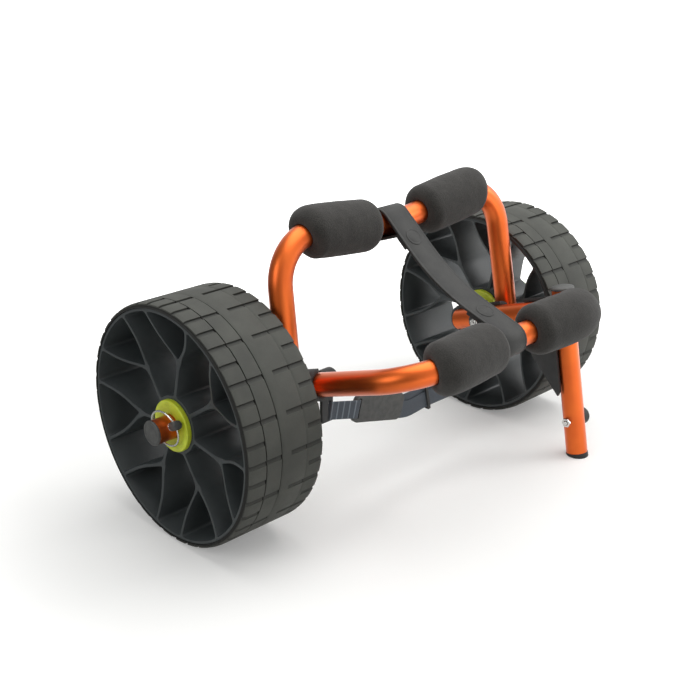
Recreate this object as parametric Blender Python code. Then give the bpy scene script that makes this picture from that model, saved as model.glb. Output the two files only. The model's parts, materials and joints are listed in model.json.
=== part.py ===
"""Folding two-wheeled cart for a canoe or kayak.

X runs along the axle, +Y to the rear and +Z up. Metres throughout, angles in degrees.
"""
import math

import bmesh
import bpy
from mathutils import Matrix, Vector

for old in list(bpy.data.objects):
    bpy.data.objects.remove(old, do_unlink=True)

# Clearances between neighbouring pieces
TOUCH = 0.0003
RUNNING = 0.0001
SIDE_PLAY = 0.0005

# Facets of round pieces
TUBE_SIDES = 16
ROUND_SIDES = 24
SMALL_SIDES = 12

# Frame tube
TUBE_R = 0.0125
TUBE_WALL = 0.0018
BEND_R = 0.050
BEND_STEP = 12.5
PLUG_DEPTH = 0.012
PLUG_LIP = 0.0015

# Front frame: its arms start beside the axle and rise to the front
ARM_X = 0.1455
ARM_RISE = 18.7
ARM_OFFSET = 0.00265
ARM_START = 0.016
ARM_LENGTH = 0.222
BAR_DIP = 0.018
DIP_R = 0.060

# Rear frame: its legs turn on the pivot bolts, outside the arms
PIVOT_T = 0.068
OPEN_ANGLE = 80.5
LEG_LENGTH = 0.159
LEG_TAIL = 0.016
LEG_TOE_IN = 0.007
LEG_PLAY = 0.0010

# Moulded hub bracket
SADDLE_R = 0.017
SADDLE_END = 0.085
SADDLE_WALL = 0.0022
WEB_HALF = 0.015
WEB_END = 0.040
WEB_OUT = 0.0345
BOSS_R = 0.0155
BOSS_BACK = 0.007
SOCKET_FLOOR = 0.0025

# Wheel
WHEEL_RADIUS = 0.127
WHEEL_WIDTH = 0.096
RIM_R = 0.1218
RIM_WALL = 0.003
HUB_R = 0.030
HUB_LENGTH = 0.0624
HUB_RECESS = 0.0118
FORK_R = 0.0679
FORK_RECESS_OUT = 0.0166
FORK_RECESS_IN = 0.022
RIM_RECESS = 0.001
BLADE = 0.003
SPOKES = 7
SPOKE_START = {"left": 34.6, "right": 0.0}
BRANCH_SPREAD = 15.7
FORK_FILLET = 0.012
WINDOW_FILLET = 0.005
TREAD_DEPTH = 0.0024
SHOULDER = 0.007
SHOULDER_DROP = 0.0018
TREAD_PITCHES = 20
TREAD_GAP = 1.0
LUG_END = 0.021
BRICK_START = 0.023
BRICK_END = 0.0405
BAND_START = 0.0435
LONG_SLOT = 0.053
SHORT_SLOT = 0.076

# Wheel bushes and lock
FLANGE_R = 0.0272
FLANGE_T = 0.0055
SLEEVE_WALL = 0.0024
SLEEVE_LENGTH = 0.017
LOCK_PLAY = 0.004
LOCK_ANGLE = 27.0
PIN_R = 0.003
PIN_TAIL = 0.0035
COLLAR_R = 0.0045
COLLAR_T = 0.0012
KNOB_R = 0.005
KNOB_LENGTH = 0.0115
RING_R = 0.01925
RING_WIRE_R = 0.0011
RING_TWIST = 9.5
RING_SEGMENTS = 24
STUB_BEYOND_PIN = 0.0137
CAP_R = 0.0131
CAP_RISE = 0.0028

# Foam pads
PAD_R = 0.0275
PAD_START = 0.038
PAD_LENGTH = 0.095

# Bolts
BOLT_R = 0.003
BOLT_HEAD_R = 0.007
BOLT_HEAD_T = 0.003
NUT_ACROSS = 0.010
NUT_T = 0.005
BOLT_TIP = 0.0018

# Strap links on the pivot bolts
LINK_WIDTH = 0.016
LINK_EYE_R = 0.0115
LINK_DROP = 0.048
LINK_T = 0.004
LINK_SLOT = 0.003
LINK_BAR = 0.0035
LINK_MARGIN = 0.003

# Tie-down webbing and its buckle
WEB_WIDTH = 0.020
WEBBING_T = 0.0016
LINK_WEB_DROP = 0.037
BUCKLE_X = -0.0515
BUCKLE_DROP = 0.0535
BUCKLE_TILT = 15.0
BUCKLE_PAD = (0.078, 0.031, 0.005)
BUCKLE_CORNER = 0.006
CHASSIS = (0.032, 0.0015, 0.012)
CHEEK_CLEAR = 0.001
CAM_X = 0.002
CAM_R = 0.004
CAM_PIN_R = 0.0015
LEVER_LENGTH = 0.030
LEVER_T = 0.0018
KEEPER_X = 0.030
KEEPER_DROP = 0.0665
LAYER_SHIFT = 0.003
KEEPER_WIDTH = 0.004
KEEPER_WALL = 0.0018
KEEPER_TILT = -12.0
KEEPER_SLACK = 0.0035
TAIL_END_X = 0.078
TIGHT_BEND_R = 0.030
TAIL_BEND_R = 0.040
EASY_BEND_R = 0.060

# Spreader strap between the two crossbars
STRAP_WIDTH = 0.034
STRAP_LEAN = 11.5
STRAP_ASIDE = 0.010
STRAP_STEPS = 8
STRAP_T = 0.003
STRAP_TUCK = 0.024
STRAP_LAP_END = 0.041
STUD_AT = 0.032
STUD_R = 0.010
STUD_HEAD_T = 0.0014
STUD_SHANK_R = 0.003
STUD_FOOT_R = 0.006

# Stand
STAND_BELOW_BAR = 0.069
STAND_LEAN = 10.8
STAND_WALL = 0.0034
STAND_SADDLE_BELOW = 0.033
STAND_SADDLE_ABOVE = 0.010
STAND_PLATE = ((-0.012, -0.008), (0.046, 0.0), (0.044, 0.050), (0.0397, 0.060), (0.0085, 0.106),
               (0.0045, 0.100), (0.0045, 0.024), (-0.012, 0.014))
STOP_START = 0.030
STOP_END = 0.096
STOP_T = 0.003
STOP_RISE = 0.009
STAND_ABOVE = 0.0185
TOP_CAP_R = 0.0135
TOP_CAP_EDGE = 0.002
TOP_CAP_RISE = 0.003
FOOT_R = 0.0130
FOOT_T = 0.004
BUMPER_HEIGHT = 0.0440
BUMPER_R = 0.0105
BUMPER_RISE = 0.010
STUD_BOLT_R = 0.0025
SMALL_NUT_ACROSS = 0.010
SMALL_NUT_T = 0.004


# Places worked out from the sizes above
def bore(radius, clearance, sides):
    """Corner radius of a faceted bore whose flats stay clear of a shaft."""
    return (radius + clearance) / math.cos(math.pi / sides)


def spigot(radius, clearance, sides):
    """Corner radius of a faceted spigot that stays clear of a faceted bore."""
    return radius * math.cos(math.pi / sides) - clearance


TUBE_BORE = TUBE_R - TUBE_WALL
ARM_OUT = ARM_X + TUBE_R
ARM_IN = ARM_X - TUBE_R
SADDLE_FACE = ARM_OUT + TOUCH + SADDLE_WALL
LEG_X = SADDLE_FACE + LEG_PLAY + TUBE_R
WHEEL_IN = LEG_X + TUBE_R + SIDE_PLAY
WHEEL_MID = WHEEL_IN + WHEEL_WIDTH / 2
WHEEL_OUT = WHEEL_IN + WHEEL_WIDTH
HUB_OUT = WHEEL_OUT - HUB_RECESS
HUB_IN = HUB_OUT - HUB_LENGTH
FLANGE_OUT = HUB_OUT + TOUCH + FLANGE_T
FLANGE_IN = HUB_IN - TOUCH - FLANGE_T
BUSH_BORE = bore(TUBE_R, RUNNING, ROUND_SIDES)
SLEEVE_R = BUSH_BORE + SLEEVE_WALL
BOSS_END = FLANGE_IN - SIDE_PLAY
BOSS_START = ARM_OUT + BOSS_BACK
STUB_START = BOSS_START + SOCKET_FLOOR + TOUCH
PIN_X = FLANGE_OUT + LOCK_PLAY + PIN_R
STUB_END = PIN_X + STUB_BEYOND_PIN
LINK_OUT = ARM_IN - TOUCH
LINK_IN = LINK_OUT - LINK_WIDTH
STAND_FACE = ARM_OUT + TOUCH + STAND_WALL
STAND_X = STAND_FACE + SIDE_PLAY + TUBE_R
AXLE_Z = WHEEL_RADIUS
STAND_T = ARM_LENGTH - STAND_BELOW_BAR
STAND_SADDLE_START = STAND_T - STAND_SADDLE_BELOW
STAND_SADDLE_END = STAND_T + STAND_SADDLE_ABOVE


def material(name, colour, roughness, metallic=0.0):
    finish = bpy.data.materials.new(name)
    finish.use_nodes = True
    shader = finish.node_tree.nodes["Principled BSDF"]
    shader.inputs["Base Color"].default_value = (*colour, 1.0)
    shader.inputs["Roughness"].default_value = roughness
    shader.inputs["Metallic"].default_value = metallic
    return finish


ANODISED = material("orange_anodised_aluminium", (0.62, 0.16, 0.03), 0.3, 1.0)
FOAM = material("charcoal_foam", (0.055, 0.054, 0.050), 0.95)
MOULDED = material("dark_grey_moulded_nylon", (0.060, 0.062, 0.062), 0.55)
CAP = material("grey_moulded_cap", (0.12, 0.12, 0.115), 0.6)
TYRE = material("grey_tyre_rubber", (0.075, 0.075, 0.072), 0.85)
RIM = material("charcoal_wheel_moulding", (0.035, 0.037, 0.038), 0.5)
LIME = material("lime_bush_plastic", (0.48, 0.56, 0.03), 0.45)
STEEL = material("bright_zinc_steel", (0.70, 0.70, 0.70), 0.25, 1.0)
RUBBER = material("black_strap_rubber", (0.050, 0.050, 0.048), 0.8)
WEBBING = material("blue_grey_webbing", (0.063, 0.070, 0.082), 0.9)


def empty(name, parent=None, at=(0, 0, 0), turn=(0, 0, 0)):
    axis = bpy.data.objects.new(name, None)
    bpy.context.scene.collection.objects.link(axis)
    axis.parent = parent
    axis.location = at
    axis.rotation_euler = [math.radians(angle) for angle in turn]
    return axis


def add(name, bm, finish, parent, at=(0, 0, 0), turn=(0, 0, 0)):
    """Makes the mesh an object; one with no finish is a tool for cutting or joining."""
    bmesh.ops.remove_doubles(bm, verts=bm.verts, dist=1e-6)
    bmesh.ops.recalc_face_normals(bm, faces=bm.faces)
    mesh = bpy.data.meshes.new(name)
    bm.to_mesh(mesh)
    bm.free()
    piece = bpy.data.objects.new(name, mesh)
    bpy.context.scene.collection.objects.link(piece)
    piece.parent = parent
    piece.location = at
    piece.rotation_euler = [math.radians(angle) for angle in turn]
    if finish:
        mesh.materials.append(finish)
        mesh.shade_smooth()
        mesh.set_sharp_from_angle(angle=math.radians(35))
    else:
        piece.hide_render = True
        piece.display_type = "WIRE"
    return piece


def work(piece, tool, operation="DIFFERENCE"):
    modifier = piece.modifiers.new(f"{operation.lower()}_{tool.name}", "BOOLEAN")
    modifier.operation = operation
    modifier.solver = "EXACT"
    modifier.object = tool


def turned(profile, sides=ROUND_SIDES):
    """A body turned round X from (x, radius) points, closed on the axis or back to its first point."""
    bm = bmesh.new()
    verts = [bm.verts.new((x, 0, radius)) for x, radius in profile]
    edges = [bm.edges.new(pair) for pair in zip(verts, verts[1:])]
    if profile[0][1] > 0:
        edges.append(bm.edges.new((verts[-1], verts[0])))
    bmesh.ops.spin(bm, geom=verts + edges, axis=(1, 0, 0), cent=(0, 0, 0),
                   angle=2 * math.pi, steps=sides, use_merge=True)
    return bm


def rod(start, end, radius, sides=ROUND_SIDES):
    return turned([(start, 0), (start, radius), (end, radius), (end, 0)], sides)


def sleeve(start, end, inner, outer, sides=ROUND_SIDES):
    return turned([(start, inner), (start, outer), (end, outer), (end, inner)], sides)


PLANES = {
    "YZ": lambda u, v, depth: Vector((depth, u, v)),
    "XZ": lambda u, v, depth: Vector((u, depth, v)),
}


def prism(outline, low, high, plane, holes=()):
    """The outline, less its holes, as a plate between two depths across the plane."""
    bm = bmesh.new()
    to_space = PLANES[plane]
    edges = []
    for loop in (outline, *holes):
        verts = [bm.verts.new(to_space(u, v, low)) for u, v in loop]
        edges += [bm.edges.new((verts[i - 1], verts[i])) for i in range(len(verts))]
    bmesh.ops.triangle_fill(bm, edges=edges, use_beauty=True, use_dissolve=False)
    lifted = bmesh.ops.extrude_face_region(bm, geom=bm.faces[:], use_keep_orig=True)
    top = [item for item in lifted["geom"] if isinstance(item, bmesh.types.BMVert)]
    bmesh.ops.translate(bm, verts=top, vec=to_space(0, 0, high - low))
    return bm


def box(low, high):
    bm = bmesh.new()
    size = [b - a for a, b in zip(low, high)]
    middle = [(a + b) / 2 for a, b in zip(low, high)]
    bmesh.ops.create_cube(bm, size=1.0, matrix=Matrix.Translation(middle) @ Matrix.Diagonal((*size, 1)))
    return bm


def polar(radius, angle):
    return Vector((radius * math.cos(math.radians(angle)), radius * math.sin(math.radians(angle))))


def arc(centre, radius, start, end, steps):
    return [Vector(centre) + polar(radius, start + (end - start) * i / steps) for i in range(steps + 1)]


def circle(centre, radius, sides, start=0.0):
    return [Vector(centre) + polar(radius, start + 360 * i / sides) for i in range(sides)]


def rounded(corners, radii, step=30.0, closed=True):
    """The line through the corners, with each corner turned on its own radius."""
    points = []
    count = len(corners)
    for i, radius in enumerate(radii):
        corner = Vector(corners[i])
        if radius == 0 or (not closed and i in (0, count - 1)):
            points.append(corner)
            continue
        back = (Vector(corners[i - 1]) - corner).normalized()
        ahead = (Vector(corners[(i + 1) % count]) - corner).normalized()
        half = back.angle(ahead) / 2
        centre = corner + (back + ahead).normalized() * radius / math.sin(half)
        spoke = corner + back * radius / math.tan(half) - centre
        turn = math.copysign(math.pi - 2 * half, -back.cross(ahead))
        steps = 2 * max(1, math.ceil(abs(math.degrees(turn)) / step / 2))
        points += [centre + Matrix.Rotation(turn * k / steps, 2) @ spoke for k in range(steps + 1)]
    return points


def hexagon(across):
    return circle((0, 0), across / math.sqrt(3), 6)


def tube_wall(stations, loops, closed):
    """A skin over rings square to a path of (centre, direction) in a plane of constant z."""
    bm = bmesh.new()
    up = Vector((0, 0, 1))
    rings = []
    for i, radius in loops:
        centre, along = stations[i]
        matrix = Matrix((up, along.cross(up), along)).transposed().to_4x4()
        matrix.translation = centre
        made = bmesh.ops.create_circle(bm, cap_ends=not closed and len(rings) in (0, len(loops) - 1),
                                       segments=TUBE_SIDES, radius=radius, matrix=matrix)
        rings.append(made["verts"])
    for ring, following in zip(rings, rings[1:] + rings[:1] if closed else rings[1:]):
        for i in range(TUBE_SIDES):
            bm.faces.new((ring[i - 1], ring[i], following[i], following[i - 1]))
    return bm


class FramePath:
    """Centre line of a U frame in its own plane: arms along -Y, crossbar dipped towards its middle."""

    def __init__(self, foot_x, top_x, start, length):
        corners = [(-foot_x, start), (-top_x, length), (0, length - BAR_DIP), (top_x, length), (foot_x, start)]
        flat = rounded(corners, [0, BEND_R, DIP_R, BEND_R, 0], BEND_STEP, closed=False)
        self.points = [Vector((x, -t)) for x, t in flat]
        self.reach = [0.0]
        for before, after in zip(self.points, self.points[1:]):
            self.reach.append(self.reach[-1] + (after - before).length)
        middle = self.reach[-1] / 2
        self.reach = [value - middle for value in self.reach]

    def direction(self, i):
        """Direction at a point of the line, halfway between its two neighbours' directions."""
        before = self.points[max(i, 1)] - self.points[max(i, 1) - 1]
        last = len(self.points) - 2
        after = self.points[min(i, last) + 1] - self.points[min(i, last)]
        return (before.normalized() + after.normalized()).normalized()

    def station(self, reach):
        """Centre and direction at a distance from the middle of the crossbar, along the line."""
        for i, value in enumerate(self.reach):
            if abs(value - reach) < 1e-7:
                return self.in_space(self.points[i], self.direction(i))
        i = next(k for k, value in enumerate(self.reach) if value > reach)
        share = (reach - self.reach[i - 1]) / (self.reach[i] - self.reach[i - 1])
        step = self.points[i] - self.points[i - 1]
        return self.in_space(self.points[i - 1] + step * share, step.normalized())

    def in_space(self, point, along):
        return Vector((point.x, point.y, 0)), Vector((along.x, along.y, 0))

    def tube(self):
        stations = [self.station(value) for value in self.reach]
        outer = [(i, TUBE_R) for i in range(len(stations))]
        inner = [(i, TUBE_BORE) for i in reversed(range(len(stations)))]
        return tube_wall(stations, outer + inner, True)

    def core(self, radius):
        """A solid round bar on the same line, for cutting its seats."""
        stations = [self.station(value) for value in self.reach]
        return tube_wall(stations, [(i, radius) for i in range(len(stations))], False)

    def pad(self, side, start):
        """Foam sleeve with soft round ends on one half of the crossbar."""
        swell = ((0.0, 0.0075), (0.0015, 0.0035), (0.005, 0.0012), (0.013, 0.0))
        end = start + PAD_LENGTH
        rounding = {start + depth: PAD_R - drop for depth, drop in swell}
        rounding.update({end - depth: PAD_R - drop for depth, drop in swell})
        bends = [value for value in self.reach if start < value * side < end]
        marks = sorted({*rounding, *[abs(value) for value in bends]})
        stations = [self.station(mark * side) for mark in marks]
        outer = []
        for i, mark in enumerate(marks):
            near = min(abs(mark - key) for key in rounding)
            if mark in rounding or near > 0.004:
                outer.append((i, rounding.get(mark, PAD_R)))
        inner_radius = bore(TUBE_R, TOUCH, TUBE_SIDES)
        inner = [(i, inner_radius) for i, mark in enumerate(marks)
                 if mark in (start, end) or mark not in rounding]
        return tube_wall(stations, outer + inner[::-1], True)


SIDES = {"left": -1, "right": 1}

# Empties: the whole cart, the axle, the plane of each frame and the two folding axes
cart = empty("cart")
axle = empty("axle", cart, (0, 0, AXLE_Z))
front_plane = empty("front_plane", axle, turn=(-ARM_RISE, 0, 0))
rear_axis = empty("rear_axis", front_plane, (0, -PIVOT_T, ARM_OFFSET), (-OPEN_ANGLE, 0, 0))
stand_seat = empty("stand_seat", front_plane, (0, -STAND_T, ARM_OFFSET), (ARM_RISE - STAND_LEAN, 0, 0))
stand_axis = empty("stand_axis", stand_seat, (STAND_X, 0, 0))
bpy.context.view_layer.update()
pivot = rear_axis.matrix_world.translation.copy()


# Front frame, one bent tube with the pivot and stand holes drilled across it
def cross_hole(name, parent, low, high, radius, at=(0, 0, 0)):
    """A drill along X, turned half a facet so that its edges miss those of the tubes."""
    return add(name, rod(low, high, bore(radius, TOUCH, SMALL_SIDES), SMALL_SIDES), None, parent, at,
               (180 / SMALL_SIDES, 0, 0))


front_path = FramePath(ARM_X, ARM_X, ARM_START, ARM_LENGTH)
front_frame = add("front_frame", front_path.tube(), ANODISED, front_plane, (0, 0, ARM_OFFSET))
pivot_hole = cross_hole("pivot_hole", front_plane, -WHEEL_IN, WHEEL_IN, BOLT_R, (0, -PIVOT_T, ARM_OFFSET))
stand_hole = cross_hole("stand_hole", stand_seat, ARM_IN - TUBE_R, STAND_X + 2 * TUBE_R, BOLT_R)
work(front_frame, pivot_hole)
work(front_frame, stand_hole)

# Rear frame, the same tube bent wider, with its legs toed in to the top
rear_slope = LEG_TOE_IN / LEG_LENGTH
rear_path = FramePath(LEG_X + rear_slope * LEG_TAIL, LEG_X - LEG_TOE_IN, -LEG_TAIL, LEG_LENGTH)
rear_frame = add("rear_frame", rear_path.tube(), ANODISED, rear_axis)
work(rear_frame, pivot_hole)

# Foam pads, two on each crossbar; the front left one has slid up against the strap
for side_name, side in SIDES.items():
    start = STRAP_WIDTH / 2 + PAD_R * BAR_DIP / ARM_X + TOUCH if side < 0 else PAD_START
    add(f"front_pad_{side_name}", front_path.pad(side, start), FOAM, front_plane, (0, 0, ARM_OFFSET))
    add(f"rear_pad_{side_name}", rear_path.pad(side, PAD_START), FOAM, rear_axis)

# Plugs in the cut ends of both frames
plug_profile = [(0, 0), (0, TUBE_R), (-PLUG_LIP, TUBE_R), (-PLUG_LIP, spigot(TUBE_BORE, TOUCH, TUBE_SIDES)),
                (-PLUG_LIP - PLUG_DEPTH, spigot(TUBE_BORE, TOUCH, TUBE_SIDES)), (-PLUG_LIP - PLUG_DEPTH, 0)]
rear_toe = math.degrees(math.atan(rear_slope))
for side_name, side in SIDES.items():
    add(f"arm_plug_{side_name}", turned(plug_profile, TUBE_SIDES), MOULDED, front_plane,
        (side * ARM_X, -ARM_START + PLUG_LIP + TOUCH, ARM_OFFSET), (0, 0, 90))
    foot = Vector((LEG_X + rear_slope * LEG_TAIL, LEG_TAIL, 0))
    foot += Vector((rear_slope, 1, 0)).normalized() * (PLUG_LIP + TOUCH)
    add(f"leg_plug_{side_name}", turned(plug_profile, TUBE_SIDES), MOULDED, rear_axis,
        (side * foot.x, foot.y, 0), (0, 0, 90 - side * rear_toe))


# Hub bracket: a half-shell saddle on the arm, a web behind the leg and a boss for the axle tube
def half_disc(side, radius):
    turn = -90 if side > 0 else 90
    return arc((side * ARM_X, ARM_OFFSET), radius, turn, turn + 180, 12)


def span(side, low, high):
    """Two distances from the middle plane as a low and a high X on one side."""
    return sorted((side * low, side * high))


arm_bore = bore(TUBE_R, TOUCH, TUBE_SIDES)
for side_name, side in SIDES.items():
    bracket = add(f"hub_bracket_{side_name}", prism(half_disc(side, SADDLE_R), -SADDLE_END, -ARM_START, "XZ"),
                  MOULDED, front_plane)
    top = ARM_OFFSET + WEB_HALF
    low, high = span(side, ARM_X + SADDLE_R / 4, ARM_OUT + WEB_OUT / 2)
    web = add(f"web_{side_name}", box((low, -WEB_END, top - 2 * WEB_HALF), (high, -ARM_START + PLUG_LIP, top)),
              None, front_plane)
    work(bracket, web, "UNION")
    low, high = span(side, BOSS_START, ARM_OUT + WEB_OUT / 2 - TOUCH)
    neck_outline = [(-WEB_END + TOUCH, top - TOUCH), (-WEB_END + TOUCH, ARM_OFFSET - WEB_HALF + TOUCH)]
    neck_outline += arc((0, 0), BOSS_R, -90, 90, 8)
    neck = add(f"neck_{side_name}", prism(neck_outline, low, high, "YZ"), None, front_plane)
    work(bracket, neck, "UNION")
    low, high = span(side, BOSS_START + TOUCH, BOSS_END)
    boss = add(f"boss_{side_name}", rod(low, high, BOSS_R), None, axle)
    work(bracket, boss, "UNION")
    arm_core = add(f"arm_core_{side_name}", rod(0, SADDLE_END + TUBE_R, arm_bore, TUBE_SIDES), None, front_plane,
                   (side * ARM_X, 0, ARM_OFFSET), (0, 0, -90))
    work(bracket, arm_core)
    low, high = span(side, STUB_START - TOUCH, WHEEL_MID)
    stub_core = add(f"stub_core_{side_name}", rod(low, high, bore(TUBE_R, TOUCH, ROUND_SIDES)), None, axle)
    work(bracket, stub_core)
    low, high = span(side, SADDLE_FACE, LEG_X)
    leg_space = add(f"leg_space_{side_name}", box((low, -SADDLE_END - TUBE_R, -SADDLE_R),
                                                  (high, -WEB_END - TOUCH, 2 * SADDLE_R)), None, front_plane)
    work(bracket, leg_space)
    work(bracket, pivot_hole)

# Axle stubs with their end caps
for side_name, side in SIDES.items():
    lock = empty(f"lock_{side_name}", axle, (side * PIN_X, 0, 0), (90 - LOCK_ANGLE, 0, 0))
    low, high = span(side, STUB_START, STUB_END)
    stub = add(f"axle_stub_{side_name}", sleeve(low, high, TUBE_BORE, TUBE_R), ANODISED, axle)
    pin_hole = add(f"pin_hole_{side_name}",
                   rod(-2 * TUBE_R, 2 * TUBE_R, bore(PIN_R, TOUCH, SMALL_SIDES), SMALL_SIDES),
                   None, lock, turn=(0, 90, 0))
    work(stub, pin_hole)
    inner = spigot(TUBE_BORE, TOUCH, ROUND_SIDES)
    face = STUB_END + TOUCH
    cap_profile = [(side * x, radius) for x, radius in (
        (face - STUB_BEYOND_PIN / 2, 0), (face - STUB_BEYOND_PIN / 2, inner), (face, inner), (face, CAP_R),
        (face + CAP_RISE / 2, CAP_R), (face + 0.85 * CAP_RISE, 0.85 * CAP_R), (face + CAP_RISE, 0.6 * CAP_R),
        (face + CAP_RISE, 0))]
    add(f"axle_cap_{side_name}", turned(cap_profile), CAP, axle)

    # Lock pin: a plain shank across the stub, a collar and a knob with an eye for the ring
    knob_start = TUBE_R + TOUCH + COLLAR_T
    ring_at = knob_start + KNOB_LENGTH / 2
    pin_profile = [(-TUBE_R - PIN_TAIL, 0), (-TUBE_R - PIN_TAIL, PIN_R / 2), (-TUBE_R - PIN_TAIL / 2, PIN_R),
                   (TUBE_R + TOUCH, PIN_R), (TUBE_R + TOUCH, COLLAR_R), (knob_start, COLLAR_R), (knob_start, KNOB_R),
                   (knob_start + KNOB_LENGTH, KNOB_R), (knob_start + KNOB_LENGTH, 0)]
    pin = add(f"lock_pin_{side_name}", turned(pin_profile, SMALL_SIDES), STEEL, lock, turn=(0, -90, 0))
    ring_sag = RING_R - math.sqrt(RING_R ** 2 - KNOB_R ** 2)
    ring_slant = KNOB_R * math.tan(math.radians(RING_TWIST))
    eye_radius = bore(RING_WIRE_R + math.hypot(ring_sag, ring_slant), TOUCH, SMALL_SIDES)
    eye = add(f"ring_eye_{side_name}", rod(-2 * KNOB_R, 2 * KNOB_R, eye_radius, SMALL_SIDES), None, lock,
              (0, 0, ring_at), (0, 0, 90))
    work(pin, eye)
    ring_axis = empty(f"ring_axis_{side_name}", lock, (0, 0, ring_at), (0, 0, -side * RING_TWIST))
    wire = [(x, RING_R + y) for x, y in circle((0, 0), RING_WIRE_R, 6)]
    add(f"lock_ring_{side_name}", turned(wire, RING_SEGMENTS), STEEL, ring_axis, (0, 0, -RING_R))


# Wheels: tyre, rim and two flanged bushes, modelled with the outer face at +X
def crown(depth):
    """Radius of the tread face at a distance from the wheel's outer face."""
    edge = min(depth, WHEEL_WIDTH - depth)
    return WHEEL_RADIUS - SHOULDER_DROP * max(0.0, 1 - edge / SHOULDER) ** 2


def tyre_mesh():
    """Two rows of lugs beside a wide band that long and short slots cut from its far edge."""
    pitch = 360 / TREAD_PITCHES
    marks = (0, TREAD_GAP, pitch / 2, pitch / 2 + TREAD_GAP)
    first = -90 - TREAD_GAP / 2
    angles = [first + pitch * k + mark for k in range(TREAD_PITCHES) for mark in marks]
    columns = [0, SHOULDER, LUG_END, BRICK_START, BRICK_END, BAND_START, LONG_SLOT, SHORT_SLOT,
               WHEEL_WIDTH - SHOULDER, WHEEL_WIDTH]
    inner = bore(RIM_R, TOUCH, len(angles))
    section = [(depth, crown(depth) - TREAD_DEPTH) for depth in columns] + [(WHEEL_WIDTH, inner), (0, inner)]
    bm = bmesh.new()
    rings = []
    for angle in angles:
        outward = [(WHEEL_WIDTH / 2 - depth, *polar(radius, angle)) for depth, radius in section]
        rings.append([bm.verts.new(point) for point in outward])
    blocks = []
    for k, ring in enumerate(rings):
        following = rings[(k + 1) % len(rings)]
        mark = k % len(marks)
        for i in range(len(section)):
            j = (i + 1) % len(section)
            face = bm.faces.new((ring[i], ring[j], following[j], following[i]))
            lug = i in (0, 1) and mark in (1, 3)
            brick = i == 3 and mark != 0
            band = i == 5 or (i == 6 and mark != 0) or (i in (7, 8) and mark not in (0, 2))
            if lug or brick or band:
                blocks.append(face)
    bmesh.ops.recalc_face_normals(bm, faces=bm.faces)
    raised = bmesh.ops.extrude_face_region(bm, geom=blocks)
    for vert in raised["geom"]:
        if isinstance(vert, bmesh.types.BMVert):
            factor = 1 + TREAD_DEPTH / math.hypot(vert.co.y, vert.co.z)
            vert.co.y *= factor
            vert.co.z *= factor
    bmesh.ops.delete(bm, geom=blocks, context="FACES")
    return bm


def meeting(point_a, direction_a, point_b, direction_b):
    """Where two lines in a plane cross."""
    share = (point_b - point_a).cross(direction_b) / direction_a.cross(direction_b)
    return point_a + direction_a * share


def on_circle(point, direction, radius):
    """Where a line that starts inside a circle about the axle leaves it."""
    along = point.dot(direction)
    return point + direction * (math.sqrt(along ** 2 + radius ** 2 - point.length_squared) - along)


def spoke_windows(start):
    """Openings of the rim, one inside each forked spoke and one between each two."""
    lip = RIM_R - RIM_WALL
    half = BLADE / 2
    pitch = 360 / SPOKES
    fork = Vector((FORK_R, 0))
    branch = (polar(lip, BRANCH_SPREAD) - fork).normalized()
    aside = Vector((-branch.y, branch.x)) * half
    inner_tip = meeting(fork - aside, branch, Vector((0, 0)), Vector((1, 0)))
    inner_end = on_circle(inner_tip, branch, lip)
    outer_fork = meeting(fork + aside, branch, Vector((0, half)), Vector((1, 0)))
    outer_end = on_circle(outer_fork, branch, lip)
    root = Vector((math.sqrt(HUB_R ** 2 - half ** 2), half))
    lip_angle = math.degrees(math.atan2(inner_end.y, inner_end.x))
    end_angle = math.degrees(math.atan2(outer_end.y, outer_end.x))
    root_angle = math.degrees(math.atan2(root.y, root.x))
    small = [inner_tip, inner_end, *arc((0, 0), lip, lip_angle, -lip_angle, 4)[1:-1],
             Vector((inner_end.x, -inner_end.y))]
    small_radii = [WINDOW_FILLET / 2, WINDOW_FILLET, 0, 0, 0, WINDOW_FILLET]
    swing = Matrix.Rotation(math.radians(pitch), 2)

    def mirrored(point):
        return swing @ Vector((point.x, -point.y))

    large = [root, outer_fork, outer_end, *arc((0, 0), lip, end_angle, pitch - end_angle, 3)[1:-1],
             mirrored(outer_end), mirrored(outer_fork), mirrored(root)]
    large += arc((0, 0), HUB_R, pitch - root_angle, root_angle, 3)[1:-1]
    large_radii = [WINDOW_FILLET / 2, FORK_FILLET, WINDOW_FILLET, 0, 0, WINDOW_FILLET, FORK_FILLET,
                   WINDOW_FILLET / 2, 0, 0]
    windows = []
    for k in range(SPOKES):
        turn = Matrix.Rotation(math.radians(start + pitch * k), 2)
        windows += [[turn @ point for point in rounded(shape, radii, 45)]
                    for shape, radii in ((small, small_radii), (large, large_radii))]
    return windows


def dish(radius, hub_depth, fork_depth):
    """How far a face of the rim lies below the wheel's face at a radius."""
    if radius < FORK_R:
        share = max(0.0, (radius - HUB_R) / (FORK_R - HUB_R))
        return hub_depth + (fork_depth - hub_depth) * share
    share = (radius - FORK_R) / (RIM_R - RIM_WALL - FORK_R)
    return fork_depth + (RIM_RECESS - fork_depth) * min(1.0, share)


def rim_mesh(start):
    half = WHEEL_WIDTH / 2
    hub_bore = circle((0, 0), bore(SLEEVE_R, TOUCH, ROUND_SIDES), ROUND_SIDES, 90)
    bm = prism(circle((0, 0), RIM_R, 56), -half, half, "YZ", [hub_bore, *spoke_windows(start)])
    inner_recess = WHEEL_WIDTH - HUB_LENGTH - HUB_RECESS
    for vert in bm.verts:
        radius = math.hypot(vert.co.y, vert.co.z)
        if vert.co.x > 0:
            vert.co.x -= dish(radius, HUB_RECESS, FORK_RECESS_OUT)
        else:
            vert.co.x += dish(radius, inner_recess, FORK_RECESS_IN)
    return bm


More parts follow.
